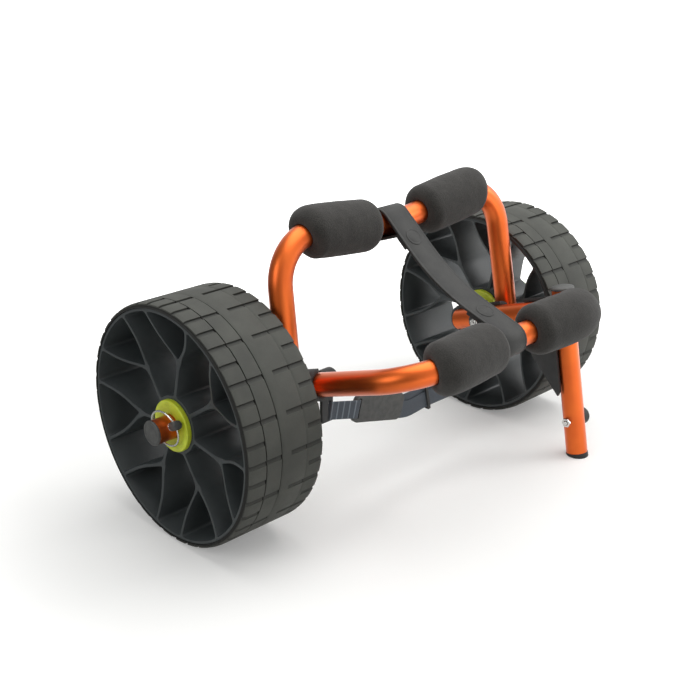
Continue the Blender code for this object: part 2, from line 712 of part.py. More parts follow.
def bush_profile(flange_face, inward):
    """Flanged sleeve; inward is +1 where its sleeve runs towards +X."""
    seat = flange_face + inward * FLANGE_T
    end = seat + inward * SLEEVE_LENGTH
    return [(flange_face, BUSH_BORE), (flange_face, FLANGE_R - FLANGE_T / 4),
            (flange_face + inward * FLANGE_T / 4, FLANGE_R), (seat, FLANGE_R), (seat, SLEEVE_R), (end, SLEEVE_R),
            (end, BUSH_BORE)]


for side_name, side in SIDES.items():
    hub = empty(f"hub_{side_name}", axle, (side * WHEEL_MID, 0, 0), (0, 0, 0 if side > 0 else 180))
    lugs_left = (0, 0, 180 if side > 0 else 0)
    add(f"tyre_{side_name}", tyre_mesh(), TYRE, hub, turn=lugs_left)
    add(f"rim_{side_name}", rim_mesh(SPOKE_START[side_name]), RIM, hub)
    add(f"outer_bush_{side_name}", turned(bush_profile(FLANGE_OUT - WHEEL_MID, -1)), LIME, hub)
    add(f"inner_bush_{side_name}", turned(bush_profile(FLANGE_IN - WHEEL_MID, 1)), LIME, hub)


# Pivot bolts with their nuts, and the strap links that hang on them
def nut(across, thickness, hole_radius):
    return prism(hexagon(across), 0, thickness, "YZ",
                 [circle((0, 0), bore(hole_radius, TOUCH, SMALL_SIDES), SMALL_SIDES)])


def bolt_profile(tip, head_face, shank_r, head_r, head_t, side):
    points = [(tip, 0), (tip, 0.7 * shank_r), (tip + BOLT_TIP / 2, shank_r), (head_face, shank_r),
              (head_face, head_r), (head_face + head_t / 3, head_r), (head_face + head_t, 0.6 * head_r),
              (head_face + head_t, 0)]
    return [(side * x, radius) for x, radius in points]


head_tilt = rear_slope * BOLT_HEAD_R
nut_start = LINK_IN - TOUCH - NUT_T
for side_name, side in SIDES.items():
    profile = bolt_profile(nut_start - BOLT_TIP, LEG_X + TUBE_R + TOUCH + head_tilt, BOLT_R, BOLT_HEAD_R,
                           BOLT_HEAD_T, side)
    add(f"pivot_bolt_{side_name}", turned(profile, SMALL_SIDES), STEEL, rear_axis)
    start = min(side * nut_start, side * (nut_start + NUT_T))
    add(f"pivot_nut_{side_name}", nut(NUT_ACROSS, NUT_T, BOLT_R), STEEL, rear_axis, (start, 0, 0))
    low, high = span(side, LINK_IN, LINK_OUT)
    link = add(f"strap_link_{side_name}", rod(low, high, LINK_EYE_R), MOULDED, cart, pivot)
    tang = add(f"tang_{side_name}", box((low, -LINK_T / 2, -LINK_DROP), (high, LINK_T / 2, -LINK_EYE_R / 2)),
               None, cart, pivot)
    work(link, tang, "UNION")
    slot_low, slot_high = span(side, LINK_IN + LINK_BAR, LINK_IN + LINK_BAR + LINK_SLOT)
    slot = add(f"slot_{side_name}", box((slot_low, -LINK_T, -LINK_DROP + LINK_MARGIN),
                                        (slot_high, LINK_T, -LINK_DROP + LINK_MARGIN + WEB_WIDTH + 2 * TOUCH)),
               None, cart, pivot)
    work(link, slot)
    work(link, pivot_hole)


# Webbing: flat bands on edge across the cart, with a buckle, its pad and a keeper
def band(points, fillets, width, upright_end=None):
    """Outline of a band of constant width along a line, cut square or, at a link, upright."""
    line = rounded(points, fillets, 15.0, closed=False)
    left = []
    right = []
    for i, point in enumerate(line):
        ahead = (line[min(i + 1, len(line) - 1)] - line[max(i - 1, 0)]).normalized()
        aside = Vector((-ahead.y, ahead.x)) * width / 2
        if i == upright_end or i - len(line) == upright_end:
            aside = Vector((0, width / 2 / ahead.x))
        left.append(point + aside)
        right.append(point - aside)
    return left + right[::-1]


buckle = empty("buckle", cart, pivot + Vector((BUCKLE_X, 0, -BUCKLE_DROP)), (0, BUCKLE_TILT, 0))
pad_length, pad_height, pad_t = BUCKLE_PAD
chassis_length, chassis_t, cheek_rise = CHASSIS
tilt = math.radians(BUCKLE_TILT)
buckle_line = Vector((math.cos(tilt), -math.sin(tilt)))
buckle_middle = Vector((BUCKLE_X, -BUCKLE_DROP))
web_end = Vector((LINK_IN - TOUCH, -LINK_WEB_DROP))
left_end = buckle_middle - buckle_line * TOUCH
right_start = buckle_middle + buckle_line * TOUCH
left_line = [(-web_end.x, web_end.y), buckle_middle - buckle_line * pad_length / 2, left_end]
pad_end = buckle_middle + buckle_line * pad_length / 2
right_line = [right_start, pad_end, (KEEPER_X, -KEEPER_DROP + LAYER_SHIFT), web_end]
tail_line = [pad_end + buckle_line * TOUCH + Vector((0, -2 * LAYER_SHIFT)), (0, -KEEPER_DROP - 2 * LAYER_SHIFT),
             (KEEPER_X, -KEEPER_DROP - LAYER_SHIFT), (TAIL_END_X, -KEEPER_DROP - LAYER_SHIFT)]
half_web = WEBBING_T / 2
front_layer = -half_web - TOUCH
add("webbing_left", prism(band(left_line, [0, TIGHT_BEND_R, 0], WEB_WIDTH, 0), -half_web, half_web, "XZ"),
    WEBBING, cart, pivot)
right_bends = [0, EASY_BEND_R, EASY_BEND_R, 0]
add("webbing_right", prism(band(right_line, right_bends, WEB_WIDTH, -1), -half_web, half_web, "XZ"),
    WEBBING, cart, pivot)
tail_bends = [0, TAIL_BEND_R, EASY_BEND_R, 0]
add("webbing_tail", prism(band(tail_line, tail_bends, WEB_WIDTH), front_layer - WEBBING_T, front_layer, "XZ"),
    WEBBING, cart, pivot)


def rounded_box(width, height, radius):
    corners = [(-width / 2, -height / 2), (width / 2, -height / 2), (width / 2, height / 2), (-width / 2, height / 2)]
    return rounded(corners, [radius] * 4, 45)


pad_face = -half_web - TOUCH
add("buckle_pad", prism(rounded_box(pad_length, pad_height, BUCKLE_CORNER), pad_face - pad_t, pad_face, "XZ"),
    CAP, buckle)

# Buckle chassis behind the webbing: a base with two cheeks that carry the cam lever
cheek_in = WEB_WIDTH / 2 + CHEEK_CLEAR
cheek_out = cheek_in + chassis_t
base_low = half_web + TOUCH
chassis = add("buckle_chassis", box((-chassis_length / 2, base_low, -cheek_out),
                                    (chassis_length / 2, base_low + cheek_rise, cheek_out)), STEEL, buckle)
hollow = add("chassis_hollow", box((-chassis_length, base_low + chassis_t, -cheek_in),
                                   (chassis_length, base_low + 2 * cheek_rise, cheek_in)), None, buckle)
work(chassis, hollow)
cam_y = base_low + chassis_t + CAM_R + TOUCH
cam_hole = add("cam_hole", rod(-2 * cheek_out, 2 * cheek_out, bore(CAM_PIN_R, TOUCH, SMALL_SIDES), SMALL_SIDES),
               None, buckle, (CAM_X, cam_y, 0), (0, 90, 0))
work(chassis, cam_hole)
cam_axis = empty("cam_axis", buckle, (CAM_X, cam_y, 0))
drum_half = cheek_in - SIDE_PLAY
lever = add("buckle_lever", rod(-drum_half, drum_half, CAM_R, SMALL_SIDES), MOULDED, cam_axis, turn=(0, 90, 0))
cam_pin = add("cam_pin", rod(-cheek_out, cheek_out, CAM_PIN_R, SMALL_SIDES), None, cam_axis, turn=(0, 90, 0))
thumb_half = drum_half - TOUCH
thumb = add("thumb_plate", box((0, CAM_R - LEVER_T, -thumb_half), (LEVER_LENGTH, CAM_R - TOUCH, thumb_half)),
            None, cam_axis)
work(lever, cam_pin, "UNION")
work(lever, thumb, "UNION")

keeper = empty("keeper_seat", cart, pivot + Vector((KEEPER_X, 0, -KEEPER_DROP)), (0, KEEPER_TILT, 0))
keeper_depth = 2 * WEBBING_T + 3 * TOUCH
keeper_height = WEB_WIDTH + 2 * LAYER_SHIFT + KEEPER_SLACK
keeper_back = half_web + TOUCH
keeper_front = keeper_back - keeper_depth
keeper_top = keeper_height / 2 + KEEPER_WALL
keeper_box = add("strap_keeper", box((-KEEPER_WIDTH / 2, keeper_front - KEEPER_WALL, -keeper_top),
                                     (KEEPER_WIDTH / 2, keeper_back + KEEPER_WALL, keeper_top)), MOULDED, keeper)
keeper_gap = add("keeper_gap", box((-KEEPER_WIDTH, keeper_front, -keeper_height / 2),
                                   (KEEPER_WIDTH, keeper_back, keeper_height / 2)), None, keeper)
work(keeper_box, keeper_gap)


# Spreader strap: looped round both crossbars, lapped back under itself and closed by a stud at each end
def loop_side(centre, along, up, radius, sweep):
    """Points round a crossbar from the strap's top face to where the lap leaves the loop."""
    tuck = along * STRAP_TUCK + up * (radius - 2 * STRAP_T)
    lean = math.acos(radius / tuck.length)
    top_angle = math.degrees(math.atan2(up.y, up.x))
    tuck_angle = math.degrees(math.atan2(tuck.y, tuck.x) - sweep * lean)
    turn = (sweep * (tuck_angle - top_angle)) % 360
    return arc(centre, radius, top_angle, top_angle + sweep * turn, 12)


def crossbar_middle(plane, path, offset, aside=0.0):
    """Place of a crossbar at its middle, its outward way, and how far the bar strays under the strap."""
    centre, _ = path.station(0)
    world = plane.matrix_world @ (centre + Vector((0, 0, offset)))
    inner = plane.matrix_world.to_3x3() @ Vector((0, -1, 0))
    spread = (STRAP_WIDTH / 2 + aside) / 2 * BAR_DIP / path.points[1].length
    return Vector((world.y, world.z)), Vector((inner.y, inner.z)), spread


front_mid, front_out, front_spread = crossbar_middle(front_plane, front_path, ARM_OFFSET)
rear_mid, rear_out, rear_spread = crossbar_middle(rear_axis, rear_path, 0, STRAP_ASIDE)
loop_r = bore(TUBE_R, TOUCH, TUBE_SIDES) + STRAP_T + max(front_spread, rear_spread)
front_mid += front_out * front_spread
rear_mid += rear_out * rear_spread
line = (front_mid - rear_mid).normalized()
rear_way = Matrix.Rotation(math.radians(STRAP_LEAN), 2) @ line
front_way = Matrix.Rotation(math.radians(-STRAP_LEAN), 2) @ line
rear_up = Vector((rear_way.y, -rear_way.x))
front_up = Vector((front_way.y, -front_way.x))


def hanging_run(offset):
    """The strap's free length at a distance from its middle, from the rear lap to the front one."""
    start = rear_mid + rear_way * STRAP_LAP_END + rear_up * (loop_r - STRAP_T / 2)
    end = front_mid - front_way * STRAP_LAP_END + front_up * (loop_r - STRAP_T / 2)
    reach = (end - start).length / 3
    handles = (start, start + rear_way * reach, end - front_way * reach, end)
    points = []
    for k in range(STRAP_STEPS + 1):
        t = k / STRAP_STEPS
        shares = ((1 - t) ** 3, 3 * t * (1 - t) ** 2, 3 * t ** 2 * (1 - t), t ** 3)
        slopes = (-(1 - t) ** 2, (1 - t) * (1 - 3 * t), t * (2 - 3 * t), t ** 2)
        spot = sum((handle * share for handle, share in zip(handles, shares)), Vector((0, 0)))
        way = sum((handle * slope for handle, slope in zip(handles, slopes)), Vector((0, 0))).normalized()
        points.append(spot + Vector((way.y, -way.x)) * offset)
    return points


strap_outline = loop_side(front_mid, -front_way, front_up, loop_r, 1)
strap_outline += [front_mid - front_way * STRAP_TUCK + front_up * (loop_r - 2 * STRAP_T),
                  front_mid - front_way * STRAP_LAP_END + front_up * (loop_r - 2 * STRAP_T)]
strap_outline += hanging_run(-STRAP_T / 2)[::-1]
strap_outline += [rear_mid + rear_way * STRAP_LAP_END + rear_up * (loop_r - 2 * STRAP_T),
                  rear_mid + rear_way * STRAP_TUCK + rear_up * (loop_r - 2 * STRAP_T)]
strap_outline += loop_side(rear_mid, rear_way, rear_up, loop_r, -1)[::-1]
strap_outline += hanging_run(STRAP_T / 2)
chord = (rear_mid - front_mid).length


def aside_at(spot):
    """The strap runs a little aslant: how far to the left of the middle it lies here."""
    share = (spot - front_mid).dot(-line) / chord
    return -STRAP_ASIDE * min(1.0, max(0.0, share))


strap_bm = prism(strap_outline, -STRAP_WIDTH / 2, STRAP_WIDTH / 2, "YZ")
for vert in strap_bm.verts:
    vert.co.x += aside_at(Vector((vert.co.y, vert.co.z)))
strap = add("spreader_strap", strap_bm, RUBBER, cart)
front_core = add("front_core", front_path.core(bore(TUBE_R, TOUCH, TUBE_SIDES)), None, front_plane,
                 (0, 0, ARM_OFFSET))
rear_core = add("rear_core", rear_path.core(bore(TUBE_R, TOUCH, TUBE_SIDES)), None, rear_axis)
work(strap, front_core)
work(strap, rear_core)
stud_profile = [(STUD_HEAD_T, 0), (STUD_HEAD_T, 0.9 * STUD_R), (STUD_HEAD_T / 2, STUD_R), (TOUCH, STUD_R),
                (TOUCH, STUD_SHANK_R), (-2 * STRAP_T - TOUCH, STUD_SHANK_R), (-2 * STRAP_T - TOUCH, STUD_FOOT_R),
                (-2 * STRAP_T - STUD_HEAD_T, STUD_FOOT_R), (-2 * STRAP_T - STUD_HEAD_T, 0)]
strap_ends = (("front", front_mid, -front_way, front_up), ("rear", rear_mid, rear_way, rear_up))
for end_name, middle, inward, up in strap_ends:
    stud_lean = math.degrees(math.atan2(-up.x, up.y))
    spot = middle + inward * STUD_AT + up * loop_r
    seat = empty(f"stud_seat_{end_name}", cart, (aside_at(spot), spot.x, spot.y), (stud_lean, 0, 0))
    add(f"strap_stud_{end_name}", turned(stud_profile, ROUND_SIDES), RUBBER, seat, turn=(0, -90, 0))
    stud_hole = add(f"stud_hole_{end_name}", rod(-4 * STRAP_T, STRAP_T, bore(STUD_SHANK_R, TOUCH, SMALL_SIDES),
                                                 SMALL_SIDES), None, seat, turn=(0, -90, 0))
    work(strap, stud_hole)

# Stand bracket: a saddle on the arm and a plate down the inside of the leg, with a stop behind it
bracket = add("stand_bracket", prism([(perp, -down) for perp, down in STAND_PLATE], ARM_OUT + TOUCH,
                                     STAND_FACE, "YZ"), MOULDED, stand_seat)
stand_saddle = add("stand_saddle", prism(half_disc(1, SADDLE_R), -STAND_SADDLE_END, -STAND_SADDLE_START, "XZ"),
                   None, front_plane)
work(bracket, stand_saddle, "UNION")
stop_y = TUBE_R + SIDE_PLAY
stop = add("leg_stop", box((ARM_OUT + 2 * TOUCH, stop_y, -STOP_END),
                           (STAND_FACE + STOP_RISE, stop_y + STOP_T, -STOP_START)), None, stand_seat)
work(bracket, stop, "UNION")
saddle_core = add("saddle_core", rod(0, STAND_SADDLE_END + TUBE_R, arm_bore, TUBE_SIDES), None, front_plane,
                  (ARM_X, 0, ARM_OFFSET), (0, 0, -90))
work(bracket, saddle_core)
stand_space = add("stand_space", box((STAND_FACE, -2 * TUBE_R, -STOP_START + TOUCH),
                                     (STAND_X, 3 * TUBE_R, 3 * TUBE_R)), None, stand_seat)
work(bracket, stand_space)
cap_reach = math.hypot(STAND_ABOVE + TOP_CAP_EDGE + TOP_CAP_RISE, TOP_CAP_R) + TOUCH
cap_low = STAND_ABOVE - TOUCH
cap_space = add("cap_space", sleeve(STAND_X - TOP_CAP_R - TOUCH, STAND_X, cap_low, cap_reach), None, stand_seat)
sweep_half = add("sweep_half", box((STAND_X - 2 * TOP_CAP_R, -2 * cap_reach, -1.5 * TOP_CAP_R),
                                   (STAND_X + TUBE_R, 2 * cap_reach, 2 * cap_reach)), None, stand_seat)
work(cap_space, sweep_half, "INTERSECT")
work(bracket, cap_space)
work(bracket, stand_hole)

# Stand leg with its plugs, pivot bolt and bumper
seat_height = stand_seat.matrix_world.translation.z
leg_down = seat_height / math.cos(math.radians(STAND_LEAN))
tube_end = leg_down - FOOT_T
leg = add("stand_leg", sleeve(-tube_end, STAND_ABOVE, TUBE_BORE, TUBE_R), ANODISED, stand_axis, turn=(0, -90, 0))
work(leg, stand_hole)
bumper_z = BUMPER_HEIGHT - leg_down
stud_hole = cross_hole("bumper_hole", stand_axis, -2 * TUBE_R, 2 * TUBE_R, STUD_BOLT_R, (0, 0, bumper_z))
work(leg, stud_hole)
inner = spigot(TUBE_BORE, TOUCH, ROUND_SIDES)
top = STAND_ABOVE + TOUCH
top_profile = [(top - PLUG_DEPTH, 0), (top - PLUG_DEPTH, inner), (top, inner), (top, TOP_CAP_R),
               (top + TOP_CAP_EDGE, TOP_CAP_R), (top + TOP_CAP_EDGE + 0.45 * TOP_CAP_RISE, 0.82 * TOP_CAP_R),
               (top + TOP_CAP_EDGE + 0.85 * TOP_CAP_RISE, 0.45 * TOP_CAP_R),
               (top + TOP_CAP_EDGE + TOP_CAP_RISE, 0)]
add("stand_top_cap", turned(top_profile), CAP, stand_axis, turn=(0, -90, 0))
foot_top = -tube_end - TOUCH
foot_profile = [(foot_top + PLUG_DEPTH, 0), (foot_top + PLUG_DEPTH, inner), (foot_top, inner), (foot_top, FOOT_R),
                (foot_top - 2 * FOOT_T, FOOT_R), (foot_top - 2 * FOOT_T, 0)]
foot = add("stand_foot", turned(foot_profile), RUBBER, stand_axis, turn=(0, -90, 0))
ground = add("ground_cut", box((0, -WHEEL_OUT, -2 * TUBE_R), (WHEEL_OUT, WHEEL_OUT, 0)), None, cart)
work(foot, ground)

stand_nut_start = ARM_IN - TOUCH - NUT_T
stand_profile = bolt_profile(stand_nut_start - BOLT_TIP, STAND_X + TUBE_R + TOUCH, BOLT_R, BOLT_HEAD_R,
                             BOLT_HEAD_T, 1)
add("stand_bolt", turned(stand_profile, SMALL_SIDES), STEEL, stand_seat)
add("stand_nut", nut(NUT_ACROSS, NUT_T, BOLT_R), STEEL, stand_seat, (stand_nut_start, 0, 0))

dome = [(0, 0), (0, BUMPER_R), (TUBE_R + BUMPER_RISE / 3, BUMPER_R), (TUBE_R + 0.75 * BUMPER_RISE, 0.75 * BUMPER_R),
        (TUBE_R + BUMPER_RISE, 0.35 * BUMPER_R), (TUBE_R + BUMPER_RISE, 0)]
bumper = add("stand_bumper", turned(dome), RUBBER, stand_axis, (0, 0, bumper_z))
leg_core = add("leg_core", rod(-3 * BUMPER_R, 3 * BUMPER_R, bore(TUBE_R, TOUCH, ROUND_SIDES)), None, stand_axis,
               (0, 0, bumper_z), (0, 90, 0))
work(bumper, leg_core)
blind = cross_hole("bumper_blind", stand_axis, 0, TUBE_R + BUMPER_RISE / 2 + TOUCH, STUD_BOLT_R, (0, 0, bumper_z))
work(bumper, blind)
small_nut_end = -TUBE_R - TOUCH
add("bumper_stud", rod(small_nut_end - SMALL_NUT_T - BOLT_TIP, TUBE_R + BUMPER_RISE / 2, STUD_BOLT_R, SMALL_SIDES),
    STEEL, stand_axis, (0, 0, bumper_z))
add("bumper_nut", nut(SMALL_NUT_ACROSS, SMALL_NUT_T, STUD_BOLT_R), STEEL, stand_axis,
    (small_nut_end - SMALL_NUT_T, 0, bumper_z))

# The part's origin: on the ground under the middle of its outer box
bpy.context.view_layer.update()
solids = [piece for piece in bpy.data.objects if piece.type == "MESH" and not piece.hide_render]
depths = [(piece.matrix_world @ vert.co).y for piece in solids for vert in piece.data.vertices]
cart.location.y = -(min(depths) + max(depths)) / 2
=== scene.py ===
"""Looks of the folding two-wheeled boat cart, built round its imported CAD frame."""
import json
import math

import bmesh
import bpy
from mathutils import Matrix, Vector, noise
from mathutils.geometry import interpolate_bezier
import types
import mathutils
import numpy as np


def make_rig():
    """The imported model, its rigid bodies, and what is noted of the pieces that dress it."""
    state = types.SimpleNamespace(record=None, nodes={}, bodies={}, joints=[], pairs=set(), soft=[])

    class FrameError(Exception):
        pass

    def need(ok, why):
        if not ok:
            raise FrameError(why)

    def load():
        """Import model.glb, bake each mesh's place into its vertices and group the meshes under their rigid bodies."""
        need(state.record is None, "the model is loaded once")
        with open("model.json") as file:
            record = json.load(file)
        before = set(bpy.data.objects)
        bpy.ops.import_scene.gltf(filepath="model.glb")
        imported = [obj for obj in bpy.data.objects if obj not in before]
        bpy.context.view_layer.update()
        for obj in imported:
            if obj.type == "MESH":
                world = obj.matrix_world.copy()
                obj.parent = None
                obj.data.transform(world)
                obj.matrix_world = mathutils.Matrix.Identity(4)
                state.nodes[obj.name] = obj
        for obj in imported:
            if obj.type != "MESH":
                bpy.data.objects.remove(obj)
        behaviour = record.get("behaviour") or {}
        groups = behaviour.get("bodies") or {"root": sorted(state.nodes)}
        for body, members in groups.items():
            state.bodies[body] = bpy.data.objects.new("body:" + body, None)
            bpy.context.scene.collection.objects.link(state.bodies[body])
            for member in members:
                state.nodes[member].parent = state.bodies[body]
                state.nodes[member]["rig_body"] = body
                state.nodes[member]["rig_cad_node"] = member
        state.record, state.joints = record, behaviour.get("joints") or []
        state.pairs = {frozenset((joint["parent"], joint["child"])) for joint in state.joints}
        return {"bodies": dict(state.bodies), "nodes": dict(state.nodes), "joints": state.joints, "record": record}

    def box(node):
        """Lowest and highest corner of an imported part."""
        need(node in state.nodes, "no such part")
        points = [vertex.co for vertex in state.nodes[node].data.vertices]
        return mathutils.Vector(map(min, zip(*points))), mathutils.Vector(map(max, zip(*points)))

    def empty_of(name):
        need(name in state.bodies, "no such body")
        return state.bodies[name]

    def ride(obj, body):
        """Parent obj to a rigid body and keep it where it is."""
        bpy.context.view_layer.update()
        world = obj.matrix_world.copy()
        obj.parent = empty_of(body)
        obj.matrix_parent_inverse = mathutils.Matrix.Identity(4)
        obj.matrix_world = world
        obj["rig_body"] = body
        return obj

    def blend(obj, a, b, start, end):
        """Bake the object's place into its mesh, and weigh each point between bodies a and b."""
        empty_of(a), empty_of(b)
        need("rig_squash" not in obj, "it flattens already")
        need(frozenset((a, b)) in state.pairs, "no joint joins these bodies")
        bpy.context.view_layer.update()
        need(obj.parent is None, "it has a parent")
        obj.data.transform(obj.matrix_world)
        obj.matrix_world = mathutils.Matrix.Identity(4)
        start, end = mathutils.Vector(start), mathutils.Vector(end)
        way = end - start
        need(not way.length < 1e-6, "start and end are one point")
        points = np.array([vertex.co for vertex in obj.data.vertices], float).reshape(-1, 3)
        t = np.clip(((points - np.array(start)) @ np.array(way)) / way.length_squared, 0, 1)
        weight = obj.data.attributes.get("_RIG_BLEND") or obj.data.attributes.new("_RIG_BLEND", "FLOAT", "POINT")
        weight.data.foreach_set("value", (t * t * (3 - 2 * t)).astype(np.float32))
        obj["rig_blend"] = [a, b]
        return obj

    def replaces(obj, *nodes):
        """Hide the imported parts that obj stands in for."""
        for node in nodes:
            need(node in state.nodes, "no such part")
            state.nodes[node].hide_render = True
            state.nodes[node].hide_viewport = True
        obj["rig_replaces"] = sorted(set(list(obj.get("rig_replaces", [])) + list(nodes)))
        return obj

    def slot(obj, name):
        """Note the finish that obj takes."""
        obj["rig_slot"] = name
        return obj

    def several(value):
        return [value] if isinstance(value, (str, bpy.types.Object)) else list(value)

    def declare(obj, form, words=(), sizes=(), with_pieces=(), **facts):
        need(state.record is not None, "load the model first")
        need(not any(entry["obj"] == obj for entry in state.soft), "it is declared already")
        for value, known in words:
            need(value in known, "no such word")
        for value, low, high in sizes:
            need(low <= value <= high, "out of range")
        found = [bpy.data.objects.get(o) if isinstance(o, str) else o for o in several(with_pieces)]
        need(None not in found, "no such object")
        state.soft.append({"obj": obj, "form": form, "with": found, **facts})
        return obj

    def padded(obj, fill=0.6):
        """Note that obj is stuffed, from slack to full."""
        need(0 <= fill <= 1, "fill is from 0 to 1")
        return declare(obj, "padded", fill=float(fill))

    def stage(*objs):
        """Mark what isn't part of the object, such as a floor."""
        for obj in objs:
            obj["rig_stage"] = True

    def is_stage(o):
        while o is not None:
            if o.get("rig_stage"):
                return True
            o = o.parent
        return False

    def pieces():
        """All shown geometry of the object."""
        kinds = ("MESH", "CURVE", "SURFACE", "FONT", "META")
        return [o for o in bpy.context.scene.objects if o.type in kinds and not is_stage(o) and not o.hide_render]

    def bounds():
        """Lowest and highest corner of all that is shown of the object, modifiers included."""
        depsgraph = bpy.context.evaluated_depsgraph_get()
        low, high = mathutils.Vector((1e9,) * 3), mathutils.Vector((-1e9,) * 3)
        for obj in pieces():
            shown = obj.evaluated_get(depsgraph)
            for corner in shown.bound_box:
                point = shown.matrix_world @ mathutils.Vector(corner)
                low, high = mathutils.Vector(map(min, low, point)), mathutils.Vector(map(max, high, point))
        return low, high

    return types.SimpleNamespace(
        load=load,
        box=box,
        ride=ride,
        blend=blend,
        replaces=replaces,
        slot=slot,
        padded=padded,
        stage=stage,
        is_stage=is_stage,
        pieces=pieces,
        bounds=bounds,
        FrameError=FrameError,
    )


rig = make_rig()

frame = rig.load()
cad_low, cad_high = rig.bounds()

# Camera: a long lens 1.3 m from the cart, in front of its left wheel and a little above it, at the
# angle that the photograph was taken from.
CAMERA_PLACE = Vector((-0.8740, -0.8083, 0.6204))
CAMERA_LOOK = Vector((0.6514, 0.6619, -0.3707))
CAMERA_LENS = 59.2
camera = bpy.data.objects.new("camera", bpy.data.cameras.new("camera"))
camera.data.lens = CAMERA_LENS
camera.data.sensor_width = 36.0
camera.location = CAMERA_PLACE
camera.rotation_euler = CAMERA_LOOK.to_track_quat("-Z", "Y").to_euler()
bpy.context.scene.collection.objects.link(camera)
bpy.context.scene.camera = camera
bpy.context.scene.view_settings.view_transform = "Standard"

# Studio: a white room that shiny pieces see darker towards the front left, one big soft lamp over the
# cart and two weaker ones at its sides.
WORLD_LIGHT = 0.36
DARK_SIDE = (-0.94, 0.33, -0.10)
DARK_FROM = -0.25
DARK_BY = 0.70
DARK_LIGHT = 0.24


def add_node(tree, kind, inputs=None, **settings):
    """A node with its settings, whose inputs are constants or links from other nodes' outputs."""
    made = tree.nodes.new(kind)
    for name, value in settings.items():
        setattr(made, name, value)
    for name, value in (inputs or {}).items():
        if isinstance(value, bpy.types.NodeSocket):
            tree.links.new(value, made.inputs[name])
        else:
            made.inputs[name].default_value = value
    return made


world = bpy.data.worlds.new("studio")
world.use_nodes = True
bpy.context.scene.world = world
room = world.node_tree
room.nodes["Background"].inputs["Color"].default_value = (1.0, 1.0, 1.0, 1.0)
rays = add_node(room, "ShaderNodeLightPath")
seen = add_node(room, "ShaderNodeMath", {0: rays.outputs["Is Camera Ray"],
                                         1: rays.outputs["Is Transmission Ray"]}, operation="MAXIMUM")
direction = add_node(room, "ShaderNodeTexCoord")
towards = add_node(room, "ShaderNodeVectorMath", {0: direction.outputs["Generated"], 1: DARK_SIDE},
                   operation="DOT_PRODUCT")
shaded = add_node(room, "ShaderNodeMapRange", {
    0: towards.outputs["Value"], 1: DARK_FROM, 2: DARK_BY, 3: 1.0, 4: DARK_LIGHT},
    interpolation_type="SMOOTHSTEP")
shiny = add_node(room, "ShaderNodeMix", {
    0: rays.outputs["Is Glossy Ray"], 2: WORLD_LIGHT, 3: shaded.outputs["Result"]})
strength = add_node(room, "ShaderNodeMix", {0: seen.outputs["Value"], 2: shiny.outputs[0], 3: 1.0})
room.links.new(strength.outputs[0], room.nodes["Background"].inputs["Strength"])

# Each lamp has its place, the point it is aimed at, its width in metres and its power in watts.
LAMPS = (("top_softbox", (0.25, -0.10, 1.50), (0.0, 0.0, 0.12), 1.9, 21.0),
         ("right_softbox", (1.30, -0.75, 0.85), (0.0, 0.0, 0.15), 0.8, 8.0),
         ("left_softbox", (-1.45, 0.10, 0.80), (0.0, 0.0, 0.12), 1.0, 5.0))
for name, place, aim, size, power in LAMPS:
    lamp = bpy.data.objects.new(name, bpy.data.lights.new(name, "AREA"))
    lamp.data.shape = "DISK"
    lamp.data.size = size
    lamp.data.energy = power
    lamp.location = place
    lamp.rotation_euler = (Vector(aim) - Vector(place)).to_track_quat("-Z", "Y").to_euler()
    bpy.context.scene.collection.objects.link(lamp)

# Floor: a sweep of matt white paper. It glows to pure white away from the cart and keeps the soft
# shadow near it. Shiny pieces see it darker towards the front left, so the tubes keep a dark side.
FLOOR_SIZE = 14.0
FLOOR_DROP = 0.0002
FLOOR_LIFT = 0.22
WHITE_FROM = 0.38
WHITE_BY = 0.82
DIM_SIDE = (-0.94, 0.33, 0.0)
DIM_FROM = 0.0
DIM_BY = 0.60
DIM_SHARE = 0.80


def linear(hex_colour):
    """The linear colour of an sRGB hex value."""
    shares = [int(hex_colour[i:i + 2], 16) / 255 for i in (1, 3, 5)]
    return (*[s / 12.92 if s <= 0.04045 else ((s + 0.055) / 1.055) ** 2.4 for s in shares], 1.0)


paper = bpy.data.materials.new("white_paper_sweep")
paper.use_nodes = True
sheet = paper.node_tree
paper_shader = sheet.nodes["Principled BSDF"]
paper_shader.inputs["Roughness"].default_value = 0.95
paper_shader.inputs["Specular IOR Level"].default_value = 0.1
paper_shader.inputs["Emission Color"].default_value = (1.0, 1.0, 1.0, 1.0)
rays = add_node(sheet, "ShaderNodeLightPath")
seen = add_node(sheet, "ShaderNodeMath", {0: rays.outputs["Is Camera Ray"], 1: rays.outputs["Is Glossy Ray"]},
                operation="MAXIMUM")
place = add_node(sheet, "ShaderNodeTexCoord").outputs["Object"]
away = add_node(sheet, "ShaderNodeVectorMath", {0: place}, operation="LENGTH")
glow = add_node(sheet, "ShaderNodeMapRange", {
    0: away.outputs["Value"], 1: WHITE_FROM, 2: WHITE_BY, 3: FLOOR_LIFT, 4: 1.0},
    interpolation_type="SMOOTHSTEP")
lift = add_node(sheet, "ShaderNodeMath", {0: seen.outputs["Value"], 1: glow.outputs["Result"]},
                operation="MULTIPLY")
front = add_node(sheet, "ShaderNodeVectorMath", {0: place, 1: DIM_SIDE}, operation="DOT_PRODUCT")
dim = add_node(sheet, "ShaderNodeMapRange", {0: front.outputs["Value"], 1: DIM_FROM, 2: DIM_BY, 3: 0.0,
                                             4: DIM_SHARE})
hidden = add_node(sheet, "ShaderNodeMath", {0: dim.outputs["Result"], 1: rays.outputs["Is Glossy Ray"]},
                  operation="MULTIPLY").outputs["Value"]
whiteness = add_node(sheet, "ShaderNodeMix", {0: hidden, 6: linear("#e6e6e4"), 7: linear("#101010")},
                     data_type="RGBA")
sheet.links.new(whiteness.outputs[2], paper_shader.inputs["Base Color"])
